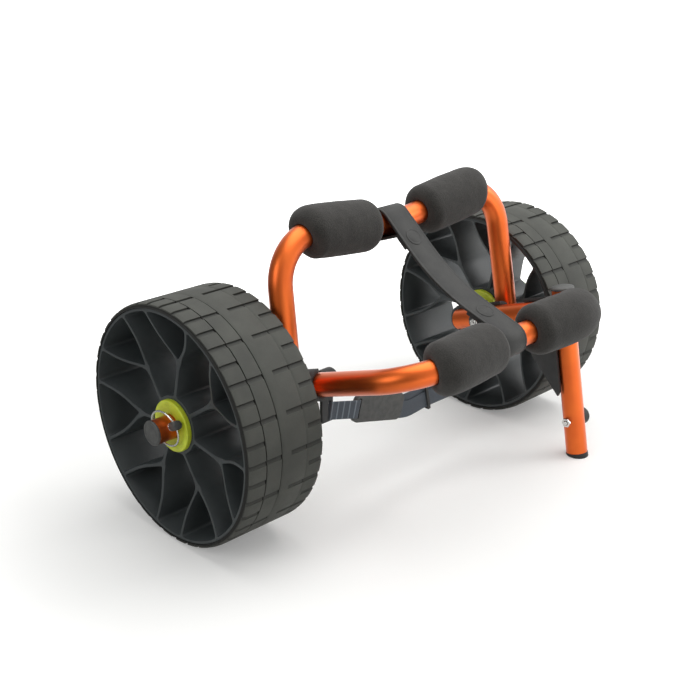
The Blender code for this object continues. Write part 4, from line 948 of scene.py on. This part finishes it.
def bush_profile(face, inward):
    """Flanged sleeve from its outer face, with raised rings on the flange."""
    sleeve_end = FLANGE_T + SLEEVE_LENGTH
    points = [(FLANGE_T, SLEEVE_R), (sleeve_end, SLEEVE_R), (sleeve_end, BUSH_BORE), (BORE_ROUND, BUSH_BORE),
              (RING_RISE, BUSH_BORE + BORE_ROUND)]
    radius = BUSH_BORE + RING_STEP
    while radius < FLANGE_R - 2.5 * RING_STEP:
        points += [(RING_RISE, radius), (0.0, radius + RING_STEP * 0.25), (0.0, radius + RING_STEP * 0.6),
                   (RING_RISE, radius + RING_STEP * 0.85)]
        radius += RING_STEP
    for k in range(7):
        angle = math.radians(90 - 15 * k)
        points.append((FLANGE_ROUND * (1 - math.sin(angle)), FLANGE_R - FLANGE_ROUND * (1 - math.cos(angle))))
    points += [(FLANGE_T - FLANGE_BACK, FLANGE_R), (FLANGE_T, FLANGE_R - FLANGE_BACK)]
    return [(face + inward * depth, radius) for depth, radius in points]


inner_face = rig.box("inner_bush_right")[0].x
for side_name, side in SIDES:
    for where, face, inward in (("outer", bush_face, -1), ("inner", inner_face, 1)):
        bm = lathe(bush_profile(face - WHEEL_MID, inward), 96)
        piece(f"{where}_flange_{side_name}", bm, lime, f"wheel_{side_name}", "lime",
              f"{where}_bush_{side_name}", place=hub_place(side))

# Axle stubs: the same anodised tube, let into the hub bracket and closed by a grey plastic end cap.
# The lock pin passes through it near the cap and keeps the wheel on.
PIN_X = 0.284
STUB_CHAMFER = 0.0004
CAP_R = 0.0131
CAP_PLUG = 0.006
# The cap's outer side: height over the tube's end and radius, from its edge over the lip to the middle.
CAP_FRONT = ((0.0, CAP_R - 0.0002), (0.0004, CAP_R), (0.0014, CAP_R), (0.0021, CAP_R - 0.0004),
             (0.0026, CAP_R - 0.0013), (0.0026, CAP_R - 0.0026), (0.0021, CAP_R - 0.0034),
             (0.0023, CAP_R / 2), (0.0024, 0))

# Moulded polyethylene: a soft, slightly waxy mid grey with blurred highlights.
cap_grey = cloudy_finish("grey_moulded_polyethylene", {"Specular IOR Level": 0.45}, ("#434443", "#515250"),
                         (0.35, 0.65), cloud=(0.006, 3.0), grain=(0.0005, 3.0), roughness=(0.45, 0.6),
                         depth=0.00003)
wall = TUBE_R - TUBE_WALL
for side_name, side in SIDES:
    turn = axle_place @ facing(side)
    end = stub_high.x
    bm = lathe([(stub_low.x, wall), (stub_low.x, TUBE_R), (end - STUB_CHAMFER, TUBE_R),
                (end, TUBE_R - STUB_CHAMFER), (end, wall)])
    piece(f"axle_tube_{side_name}", bm, anodised, "chassis", "anodised", f"axle_stub_{side_name}", place=turn)
    face = end + TOUCH
    bm = lathe([(face - CAP_PLUG, 0), (face - CAP_PLUG, wall - TOUCH), (face, wall - TOUCH),
                *[(face + height, radius) for height, radius in CAP_FRONT]])
    piece(f"axle_end_cap_{side_name}", bm, cap_grey, "chassis", "cap", f"axle_cap_{side_name}", place=turn)

# Lock pins: a zinc-plated steel shank through each stub, with a grey knob and a sprung steel ring that
# folds over the axle end.
LOCK_ANGLE = 27.0
PIN_R = 0.003
PIN_TAIL = 0.0035
COLLAR_R = 0.0045
COLLAR_T = 0.0012
COLLAR_EDGE = 0.0003
KNOB_R = 0.005
KNOB_LENGTH = 0.0115
KNOB_SIDES = 8
KNOB_EDGE = 0.0009
RING_R = 0.01925
RING_WIRE_R = 0.0011
RING_TWIST = 9.5

# Bright zinc plate: a pale, cool metal with clear but slightly broken reflections.
zinc = cloudy_finish("bright_zinc_plated_steel", {"Metallic": 1.0}, ("#cfcfcc", "#e6e5e1"), (0.3, 0.7),
                     cloud=(0.004, 3.0), grain=(0.0012, 3.0), roughness=(0.16, 0.30))
for side_name, side in SIDES:
    lock = axle_place @ Matrix.Translation((side * PIN_X, 0, 0)) @ Matrix.Rotation(
        math.radians(90 - LOCK_ANGLE), 4, "X")
    upright = lock @ Matrix.Rotation(math.radians(-90), 4, "Y")
    seat = TUBE_R + TOUCH
    knob_start = seat + COLLAR_T
    knob_end = knob_start + KNOB_LENGTH
    bm = lathe([(-TUBE_R - PIN_TAIL, 0), (-TUBE_R - PIN_TAIL, PIN_R / 2), (-TUBE_R - PIN_TAIL / 2, PIN_R),
                (seat, PIN_R), (seat, COLLAR_R - COLLAR_EDGE), (seat + COLLAR_EDGE, COLLAR_R),
                (knob_start - COLLAR_EDGE, COLLAR_R), (knob_start, COLLAR_R - COLLAR_EDGE),
                (knob_start, 0)], 40)
    piece(f"pin_shank_{side_name}", bm, zinc, "chassis", "steel", f"lock_pin_{side_name}", place=upright)
    bm = lathe([(knob_start, 0), (knob_start, KNOB_R), (knob_end, KNOB_R), (knob_end, 0)], KNOB_SIDES)
    rounded_edges(bm, KNOB_EDGE, 3, 40)
    piece(f"pin_knob_{side_name}", bm, cap_grey, "chassis", "cap", place=upright)
    ring_axis = lock @ Matrix.Translation((0, 0, knob_start + KNOB_LENGTH / 2)) @ Matrix.Rotation(
        math.radians(-side * RING_TWIST), 4, "Z")
    bm = lathe([(x, RING_R + y) for x, y in ring(RING_WIRE_R, 16)], 96)
    piece(f"pull_ring_{side_name}", bm, zinc, f"ring_{side_name}", "steel", f"lock_ring_{side_name}",
          place=ring_axis @ Matrix.Translation((0, 0, -RING_R)))

# Brackets and links: black-grey glass-filled nylon mouldings, the hub bracket on each arm, the stand
# bracket on the right one, the links that hang the webbing from the pivot bolts, and the tube plugs.
MOULDED_EDGE = 0.0007
FLAT_WITHIN = 1.0


def softened(node, width, segments=2):
    """A copy of a CAD node's shape with its edges rounded."""
    bm = bmesh.new()
    bm.from_mesh(frame["nodes"][node].data)
    bmesh.ops.remove_doubles(bm, verts=bm.verts, dist=1e-6)
    bmesh.ops.dissolve_limit(bm, angle_limit=math.radians(FLAT_WITHIN), verts=bm.verts, edges=bm.edges)
    rounded_edges(bm, width, segments)
    return bm


# Glass-filled nylon: nearly black, satin, with a fine spark grain that breaks up its highlights.
black = cloudy_finish("black_glass_filled_nylon", {"Specular IOR Level": 0.45}, ("#252626", "#313232"),
                      (0.3, 0.7), cloud=(0.020, 3.0), grain=(0.0006, 2.0), roughness=(0.48, 0.62),
                      depth=0.00005)
for node in ("hub_bracket_left", "hub_bracket_right", "stand_bracket", "strap_link_left", "strap_link_right",
             "arm_plug_left", "arm_plug_right", "leg_plug_left", "leg_plug_right"):
    piece(f"{node}_moulding", softened(node, MOULDED_EDGE), black, frame["nodes"][node]["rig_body"], "moulded",
          node)

# Spreader strap: a black rubber band that loops round both crossbars, laps back under itself and is
# closed by a flat rubber stud at each end. A fine groove runs along both of its edges.
STRAP_T = 0.003
STRAP_LOOP_R = 0.0174
STRAP_LEAN = 11.5
STRAP_ASIDE = 0.010
STRAP_TUCK = 0.024
STRAP_LAP_END = 0.041
STRAP_CORNER = 0.0008
EDGE_GROOVE_IN = 0.0030
EDGE_GROOVE_HALF = 0.0005
EDGE_GROOVE_DEPTH = 0.0003
STUD_AT = 0.032
STUD_R = 0.0098
STUD_LIFT = 0.0007
STUD_SINK = 0.0004
STUD_FLOAT = 0.0001
STUD_SHANK_R = 0.003
STUD_FOOT_R = 0.006
STUD_FOOT_T = 0.0014
LINE_FINE = 0.003

# Strap rubber: soft black with a faint grey bloom and a dull, even sheen.
rubber = cloudy_finish("black_strap_rubber", {"Specular IOR Level": 0.4}, ("#272726", "#31312f"),
                       (0.35, 0.65), cloud=(0.018, 4.0), grain=(0.0006, 3.0), roughness=(0.55, 0.68),
                       depth=0.00005)


def bar_middle(place, line, reach, aside=0.0):
    """Strap's centre on a crossbar, moved out a little because the bar dips there, in the YZ plane."""
    centre = place @ station(line, reach, 0.0)[0]
    out = place.to_3x3() @ Vector((0, -1, 0))
    spread = (STRAP_WIDTH / 2 + aside) / 2 * BAR_DIP / ARM_X
    return Vector((centre.y, centre.z)) + Vector((out.y, out.z)) * spread


def strap_end(centre, inward, lift, sweep_sign):
    """Centre line of the strap from the top of a crossbar, round it, to the end of the lap."""
    mid_r = STRAP_LOOP_R - STRAP_T / 2
    under = lift * (STRAP_LOOP_R - 1.5 * STRAP_T)
    tuck = inward * STRAP_TUCK + under
    top = math.atan2(lift.y, lift.x)
    leave = math.atan2(tuck.y, tuck.x) - sweep_sign * math.acos(mid_r / tuck.length)
    turn = (sweep_sign * (leave - top)) % (2 * math.pi)
    angles = [top + sweep_sign * turn * k / 24 for k in range(25)]
    loop = [centre + Vector((math.cos(a), math.sin(a))) * mid_r for a in angles]
    return loop + [centre + tuck, centre + inward * STRAP_LAP_END + under]


def aside_at(spot):
    """How far the strap has moved left at a place in the YZ plane, on its way to the rear crossbar."""
    chord = rear_mid - front_mid
    share = (spot - front_mid).dot(chord) / chord.length_squared
    return -STRAP_ASIDE * min(1.0, max(0.0, share))


front_mid = bar_middle(arm_place, front_line, front_reach)
rear_mid = bar_middle(rear_place, rear_line, rear_reach, STRAP_ASIDE)
strap_way = (front_mid - rear_mid).normalized()
rear_way = Matrix.Rotation(math.radians(STRAP_LEAN), 2) @ strap_way
front_way = Matrix.Rotation(math.radians(-STRAP_LEAN), 2) @ strap_way
rear_lift = Vector((rear_way.y, -rear_way.x))
front_lift = Vector((front_way.y, -front_way.x))
lap_rise = STRAP_LOOP_R - STRAP_T / 2
sag_start = rear_mid + rear_way * STRAP_LAP_END + rear_lift * lap_rise
sag_end = front_mid - front_way * STRAP_LAP_END + front_lift * lap_rise
reach = (sag_end - sag_start).length / 3
sag = interpolate_bezier(sag_start.to_3d(), (sag_start + rear_way * reach).to_3d(),
                         (sag_end - front_way * reach).to_3d(), sag_end.to_3d(), 24)
flat = strap_end(rear_mid, rear_way, rear_lift, -1)[::-1] + [point.to_2d() for point in sag]
flat += strap_end(front_mid, -front_way, front_lift, 1)
strap_line, strap_reach = even_line([Vector((0, y, z)) for y, z in flat], LINE_FINE)
half, thick = STRAP_WIDTH / 2, STRAP_T / 2
edge_out = half - EDGE_GROOVE_IN
groove_base = thick - EDGE_GROOVE_DEPTH
strap_side = [(-thick, half - STRAP_CORNER), (-thick + 0.3 * STRAP_CORNER, half - 0.3 * STRAP_CORNER),
              (-thick + STRAP_CORNER, half), (thick - STRAP_CORNER, half),
              (thick - 0.3 * STRAP_CORNER, half - 0.3 * STRAP_CORNER), (thick, half - STRAP_CORNER),
              (thick, edge_out + 2 * EDGE_GROOVE_HALF), (groove_base, edge_out + EDGE_GROOVE_HALF),
              (groove_base, edge_out - EDGE_GROOVE_HALF), (thick, edge_out - 2 * EDGE_GROOVE_HALF)]
strap_section = strap_side + [(u, -v) for u, v in reversed(strap_side)]
stations = [(*station(strap_line, strap_reach, value), 1.0, value) for value in strap_reach]
bm = sweep(stations, strap_section, Vector((1, 0, 0)))
for vert in bm.verts:
    vert.co.x += aside_at(Vector((vert.co.y, vert.co.z)))
strap = piece("rubber_spreader_strap", bm, rubber, None, "strap_rubber", "spreader_strap")
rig.blend(strap, "chassis", "rear", start=(0, *front_mid), end=(0, *rear_mid))

# A button's outline: height over the strap's outer face and radius, from the top round to the foot.
stud_back = -2 * STRAP_T - TOUCH
stud_end = stud_back - STUD_FOOT_T
stud_profile = [(STUD_LIFT, 0), (STUD_LIFT * 0.9, STUD_R - 0.0030),
                (STUD_LIFT - STUD_SINK, STUD_R - 0.0024), (STUD_LIFT - STUD_SINK, STUD_R - 0.0018),
                (STUD_LIFT, STUD_R - 0.0012), (STUD_LIFT, STUD_R - 0.0005), (STUD_LIFT - 0.0003, STUD_R),
                (STUD_FLOAT, STUD_R), (STUD_FLOAT, STUD_SHANK_R), (stud_back, STUD_SHANK_R),
                (stud_back, STUD_FOOT_R), (stud_end, STUD_FOOT_R), (stud_end, 0)]
for end_name, middle, inward, lift in (("front", front_mid, -front_way, front_lift),
                                       ("rear", rear_mid, rear_way, rear_lift)):
    spot = middle + inward * STUD_AT + lift * STRAP_LOOP_R
    seat = Matrix.Translation((aside_at(spot), *spot)) @ Vector((0, *lift)).to_track_quat(
        "X", "Z").to_matrix().to_4x4()
    button = piece(f"{end_name}_strap_button", lathe(stud_profile, 56), rubber, None, "strap_rubber",
                   f"strap_stud_{end_name}", place=seat)
    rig.blend(button, "chassis", "rear", start=(0, *front_mid), end=(0, *rear_mid))

# Tie webbing: woven blue-grey polyester, 20 mm wide, held on edge between the two links. The left
# stretch is sewn round its link and over the buckle pad's bar, the right one runs through the keeper.
LINK_IN = 0.1167
LINK_SLOT_MIDDLE = 0.1217
LINK_WEB_DROP = 0.037
LINK_FACE = 0.0030
LINK_CORNER = 0.0012
LINK_HOOK = 0.0006
WEB_WIDTH = 0.020
WEBBING_T = 0.0016
BUCKLE_X = -0.0515
BUCKLE_DROP = 0.0535
BUCKLE_TILT = 15.0
WEB_BEND = 0.060
TAIL_BEND = 0.040
WEB_START = 0.002
LINK_LEAD = (0.004, 0.0014)
PAD_PLATE = (0.078, 0.031, 0.005)
PAD_CORNER = 0.008
PAD_SLOT = (-0.0335, -0.0300, 0.0115)
KEEPER_X = 0.030
KEEPER_DROP = 0.0665
LAYER_SHIFT = 0.003
TAIL_END_X = 0.078

# Woven polyester: a dull blue grey with a soft bloom at its edges and a diagonal twill. Its threads
# are drawn 1.1 mm apart, about twice as coarse as real ones, so that the weave shows.
THREAD = 0.0011
TWILL_ANGLE = 32
WAVES_PER_METRE = 0.314
WEAVE_DEPTH = 0.00018
WEB_SOCKETS = {"Specular IOR Level": 0.3, "Sheen Weight": 0.25, "Sheen Roughness": 0.5}
webbing, tree = new_finish("blue_grey_woven_polyester", WEB_SOCKETS)
along = add_node(tree, "ShaderNodeAttribute", attribute_name="straight").outputs["Vector"]
turned = add_node(tree, "ShaderNodeMapping", {"Vector": along, "Rotation": (0, math.radians(TWILL_ANGLE), 0)})
twill = add_node(tree, "ShaderNodeTexWave", {
    "Vector": turned.outputs["Vector"], "Scale": WAVES_PER_METRE / THREAD, "Distortion": 0.6, "Detail": 1.0},
    bands_direction="Z")
pick = add_node(tree, "ShaderNodeTexWave", {
    "Vector": along, "Scale": WAVES_PER_METRE / THREAD, "Distortion": 0.4}, bands_direction="X")
weave = add_node(tree, "ShaderNodeMix", {0: 0.4, 2: twill.outputs["Fac"], 3: pick.outputs["Fac"]}).outputs[0]
pattern(tree, ("#3d444c", "#59616a"), weave, (0.2, 0.8), (0.78, 0.92), weave, WEAVE_DEPTH)

# Ribbed polyester: the same cloth, a shade lighter, with a raised rib every 8 mm across it whose top is painted pale
# as a highlight.
RIB_PITCH = 0.0078
RIB_DEPTH = 0.00025
ribbed, tree = new_finish("ribbed_blue_grey_polyester", WEB_SOCKETS)
along = add_node(tree, "ShaderNodeAttribute", attribute_name="straight").outputs["Vector"]
rib = add_node(tree, "ShaderNodeTexWave", {
    "Vector": along, "Scale": WAVES_PER_METRE / RIB_PITCH, "Distortion": 0.15}, bands_direction="Z")
thread = add_node(tree, "ShaderNodeTexWave", {
    "Vector": along, "Scale": WAVES_PER_METRE / THREAD, "Distortion": 0.5}, bands_direction="Z")
# Each rib's raised top: it is bumped out and also painted pale as a highlight.
rib_and_painted_highlight = add_node(tree, "ShaderNodeMapRange", {0: rib.outputs["Fac"], 1: 0.80, 2: 0.98})
height = add_node(tree, "ShaderNodeMix", {
    0: 0.75, 2: thread.outputs["Fac"], 3: rib_and_painted_highlight.outputs["Result"]}).outputs[0]
pattern(tree, ("#464d55", "#78828b"), height, (0.1, 0.95), (0.78, 0.92), thread.outputs["Fac"], RIB_DEPTH,
        height)

pivot = rear_place.translation
pivot_place = Matrix.Translation(pivot)
buckle_place = pivot_place @ Matrix.Translation((BUCKLE_X, 0, -BUCKLE_DROP)) @ Matrix.Rotation(
    math.radians(BUCKLE_TILT), 4, "Y")
edge = WEBBING_T / 4
web_half = (WEB_WIDTH / 2, WEBBING_T / 2)
web_section = [(-web_half[0] + edge, -web_half[1]), (web_half[0] - edge, -web_half[1]),
               (web_half[0], -web_half[1] + edge), (web_half[0], web_half[1] - edge),
               (web_half[0] - edge, web_half[1]), (-web_half[0] + edge, web_half[1]),
               (-web_half[0], web_half[1] - edge), (-web_half[0], -web_half[1] + edge)]


def web_piece(name, points, finish, node):
    """A band on edge along the points, which are in world space."""
    line, reach = even_line(points, LINE_FINE)
    stations = [(*station(line, reach, value), 1.0, value) for value in reach]
    return piece(name, sweep(stations, web_section, Vector((0, 1, 0))), finish, "chassis", "webbing", node)


def in_pivot(x, y, z):
    """A point given from the middle of the pivot line."""
    return pivot_place @ Vector((x, y, z))


def round_link(side):
    """The webbing's way from a link's face round into its slot."""
    return [in_pivot(side * LINK_IN, -LINK_FACE, -LINK_WEB_DROP),
            in_pivot(side * (LINK_SLOT_MIDDLE - LINK_CORNER), -LINK_FACE, -LINK_WEB_DROP + 0.0008),
            in_pivot(side * LINK_SLOT_MIDDLE, LINK_HOOK, -LINK_WEB_DROP + 0.001)]


pad_length, pad_height, pad_t = PAD_PLATE
pad_face = -WEBBING_T / 2 - TOUCH
over_bar = pad_face - pad_t - TOUCH - WEBBING_T / 2
# The left stretch passes over the plate's end, lies on its bar and dips into its slot.
over_plate = ((-pad_length / 2 - 0.0030, over_bar + 0.0006, 0), (-pad_length / 2 + 0.001, over_bar, 0),
              (PAD_SLOT[0] - 0.0006, over_bar, 0), (PAD_SLOT[0] + 0.0006, over_bar + 0.0010, 0),
              (PAD_SLOT[0] + 0.0012, over_bar + 0.0030, 0))
left_points = round_link(-1)[::-1] + [buckle_place @ Vector(point) for point in over_plate]
web_piece("ribbed_webbing_left", left_points, ribbed, "webbing_left")
pad_end = buckle_place @ Vector((pad_length / 2, 0, 0)) - pivot
middle = buckle_place @ Vector((WEB_START, 0, 0)) - pivot
flat = fillet_line([(middle.x, middle.z), (pad_end.x, pad_end.z), (KEEPER_X, -KEEPER_DROP + LAYER_SHIFT),
                    (LINK_IN - LINK_LEAD[0], -LINK_WEB_DROP - LINK_LEAD[1])], [0, WEB_BEND, WEB_BEND, 0])
right_points = [in_pivot(x, 0, z) for x, z in flat] + round_link(1)
web_piece("woven_webbing_right", right_points, webbing, "webbing_right")
flat = fillet_line([(pad_end.x + TOUCH, pad_end.z - 2 * LAYER_SHIFT), (0, -KEEPER_DROP - 2 * LAYER_SHIFT),
                    (KEEPER_X, -KEEPER_DROP - LAYER_SHIFT), (TAIL_END_X, -KEEPER_DROP - LAYER_SHIFT)],
                   [0, TAIL_BEND, WEB_BEND, 0])
tail_points = [in_pivot(x, -WEBBING_T - TOUCH, z) for x, z in flat]
web_piece("woven_webbing_tail", tail_points, webbing, "webbing_tail")

# Buckle and keeper: a soft grey plastic pad that keeps the steel cam buckle behind it off the hull,
# the pressed steel chassis with its black cam lever, and a small black keeper for the loose tail.
PAD_EDGE = 0.0012
PAD_SLOT_CORNER = 0.0006
STEEL_EDGE = 0.0003
LEVER_EDGE = 0.0004
KEEPER_EDGE = 0.0005
bm = bmesh.new()
corner = (pad_length / 2, pad_height / 2)
outline = fillet_line([(-corner[0], -corner[1]), (corner[0], -corner[1]), corner, (-corner[0], corner[1])],
                      [PAD_CORNER] * 4, 15)
slot = fillet_line([(PAD_SLOT[0], -PAD_SLOT[2]), (PAD_SLOT[1], -PAD_SLOT[2]), (PAD_SLOT[1], PAD_SLOT[2]),
                    (PAD_SLOT[0], PAD_SLOT[2])], [PAD_SLOT_CORNER] * 4, 30)
edges = []
for loop in (outline, slot):
    verts = [bm.verts.new((x, pad_face - pad_t, z)) for x, z in loop]
    edges += [bm.edges.new((verts[k - 1], verts[k])) for k in range(len(verts))]
bmesh.ops.triangle_fill(bm, edges=edges, use_beauty=True, use_dissolve=False)
made = bmesh.ops.extrude_face_region(bm, geom=bm.faces[:], use_keep_orig=True)
back = [item for item in made["geom"] if isinstance(item, bmesh.types.BMVert)]
bmesh.ops.translate(bm, verts=back, vec=(0, pad_t, 0))
bmesh.ops.recalc_face_normals(bm, faces=bm.faces)
rounded_edges(bm, PAD_EDGE, 3, 60)
piece("buckle_cover_plate", bm, cap_grey, "chassis", "cap", "buckle_pad", place=buckle_place)
piece("buckle_steel_chassis", softened("buckle_chassis", STEEL_EDGE, 1), zinc, "chassis", "steel",
      "buckle_chassis")
piece("buckle_cam_lever", softened("buckle_lever", LEVER_EDGE), black, "lever", "moulded", "buckle_lever")
piece("webbing_keeper_loop", softened("strap_keeper", KEEPER_EDGE), black, "chassis", "moulded",
      "strap_keeper")

# Bolts and lock nuts: zinc-plated steel, a button-head bolt through each pivot and one through the
# stand, each with a lock nut whose round collar grips the thread.
BOLT_R = 0.003
BOLT_HEAD_R = 0.007
BOLT_HEAD_T = 0.003
BOLT_EDGE = 0.0003
BOLT_POINT = 0.0008
SOCKET_R = 0.0022
SOCKET_DEPTH = 0.0018
NUT_EDGE = 0.0005
COLLAR_GAP = 0.0001
NUT_COLLAR_R = 0.0043
NUT_COLLAR_T = 0.0013
for name, side in (("pivot_bolt_left", -1), ("pivot_bolt_right", 1), ("stand_bolt", 1)):
    nut = name.replace("bolt", "nut")
    low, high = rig.box(name)
    nut_low, nut_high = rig.box(nut)
    tip, top = (low.x, high.x) if side > 0 else (-high.x, -low.x)
    nut_end = nut_low.x if side > 0 else -nut_high.x
    centre = Vector((0, (nut_low.y + nut_high.y) / 2, (nut_low.z + nut_high.z) / 2))
    turn = Matrix.Translation(centre) @ facing(side)
    face = top - BOLT_HEAD_T
    # The head rises straight for a third of its height, then rounds over to a flat round its socket.
    dome = [(face + BOLT_HEAD_T * (0.30 + 0.70 * math.sin(math.radians(a))),
             BOLT_HEAD_R * (0.42 + 0.58 * math.cos(math.radians(a)))) for a in range(0, 91, 15)]
    bm = lathe([(tip, 0), (tip, 0.7 * BOLT_R), (tip + BOLT_POINT, BOLT_R), (face, BOLT_R),
                (face, BOLT_HEAD_R - BOLT_EDGE), (face + BOLT_EDGE, BOLT_HEAD_R), *dome, (top, SOCKET_R),
                (top - SOCKET_DEPTH, SOCKET_R * 0.9), (top - SOCKET_DEPTH, 0)], 48)
    piece(f"button_head_{name}", bm, zinc, "chassis", "steel", name, place=turn)
    piece(f"hex_{nut}", softened(nut, NUT_EDGE, 3), zinc, "chassis", "steel", nut)
    collar_end = nut_end - NUT_COLLAR_T
    bm = lathe([(nut_end, BOLT_R + COLLAR_GAP), (nut_end, NUT_COLLAR_R), (collar_end + 0.0004, NUT_COLLAR_R),
                (collar_end, NUT_COLLAR_R - NUT_EDGE), (collar_end, BOLT_R + COLLAR_GAP)], 48)
    piece(f"collar_of_{nut}", bm, zinc, "chassis", "steel", place=turn)

# Stand: a leg of the same orange tube that swings on its bolt, with a grey domed cap on top, a black
# rubber foot, and a rubber bumper held by a stud and nut that stops it on the wheel side.
STAND_BELOW_BAR = 0.069
STAND_LEAN = 10.8
STAND_ABOVE = 0.0185
STAND_CHAMFER = 0.0003
PLUG_DEPTH = 0.012
TOP_CAP_R = 0.0135
TOP_CAP_EDGE = 0.002
TOP_CAP_ROUND = 0.0004
TOP_CAP_RISE = 0.003
FOOT_T = 0.004
FOOT_EDGE = 0.0005
BUMPER_HEIGHT = 0.044
BUMPER_R = 0.0105
BUMPER_RISE = 0.010
BUMPER_STRAIGHT = 0.002
BUMPER_SEAT = 0.0065
BUMPER_STUD_EDGE = 0.0004
stand_seat = arm_place @ Matrix.Translation((0, STAND_BELOW_BAR - ARM_LENGTH, 0)) @ Matrix.Rotation(
    math.radians(ARM_RISE - STAND_LEAN), 4, "X")
cap_low, cap_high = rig.box("stand_top_cap")
stand_axis = stand_seat @ Matrix.Translation(((cap_low.x + cap_high.x) / 2, 0, 0))
leg_down = stand_seat.translation.z / math.cos(math.radians(STAND_LEAN))
upright = stand_axis @ Matrix.Rotation(math.radians(-90), 4, "Y")
bm = lathe([(FOOT_T - leg_down, wall), (FOOT_T - leg_down, TUBE_R), (STAND_ABOVE - STAND_CHAMFER, TUBE_R),
            (STAND_ABOVE, TUBE_R - STAND_CHAMFER), (STAND_ABOVE, wall)])
piece("stand_tube", bm, anodised, "stand", "anodised", "stand_leg", place=upright)
quarter = [math.radians(a) for a in range(0, 91, 9)]
top = STAND_ABOVE + TOUCH
dome = [(top + TOP_CAP_EDGE + TOP_CAP_RISE * math.sin(a), TOP_CAP_R * math.cos(a)) for a in quarter]
bm = lathe([(top - PLUG_DEPTH, 0), (top - PLUG_DEPTH, wall - TOUCH), (top, wall - TOUCH),
            (top, TOP_CAP_R - TOP_CAP_ROUND), (top + TOP_CAP_ROUND, TOP_CAP_R), *dome])
piece("domed_stand_cap", bm, cap_grey, "stand", "cap", "stand_top_cap", place=upright)
piece("rubber_stand_foot", softened("stand_foot", FOOT_EDGE), rubber, "stand", "strap_rubber", "stand_foot")
bumper_place = stand_axis @ Matrix.Translation((0, 0, BUMPER_HEIGHT - leg_down))
dome = [(TUBE_R + BUMPER_STRAIGHT + (BUMPER_RISE - BUMPER_STRAIGHT) * math.sin(a), BUMPER_R * math.cos(a))
        for a in quarter]
bm = lathe([(BUMPER_SEAT, 0), (BUMPER_SEAT, BUMPER_R), *dome])
piece("rubber_stand_bumper", bm, rubber, "stand", "strap_rubber", "stand_bumper", place=bumper_place)
piece("small_bumper_stud", softened("bumper_stud", BUMPER_STUD_EDGE), zinc, "stand", "steel", "bumper_stud")
piece("small_bumper_nut", softened("bumper_nut", NUT_EDGE, 3), zinc, "stand", "steel", "bumper_nut")

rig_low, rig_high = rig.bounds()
with open("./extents.json", "w") as sizes:
    json.dump({"cad": [list(cad_low), list(cad_high)], "visual": [list(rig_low), list(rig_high)]}, sizes)
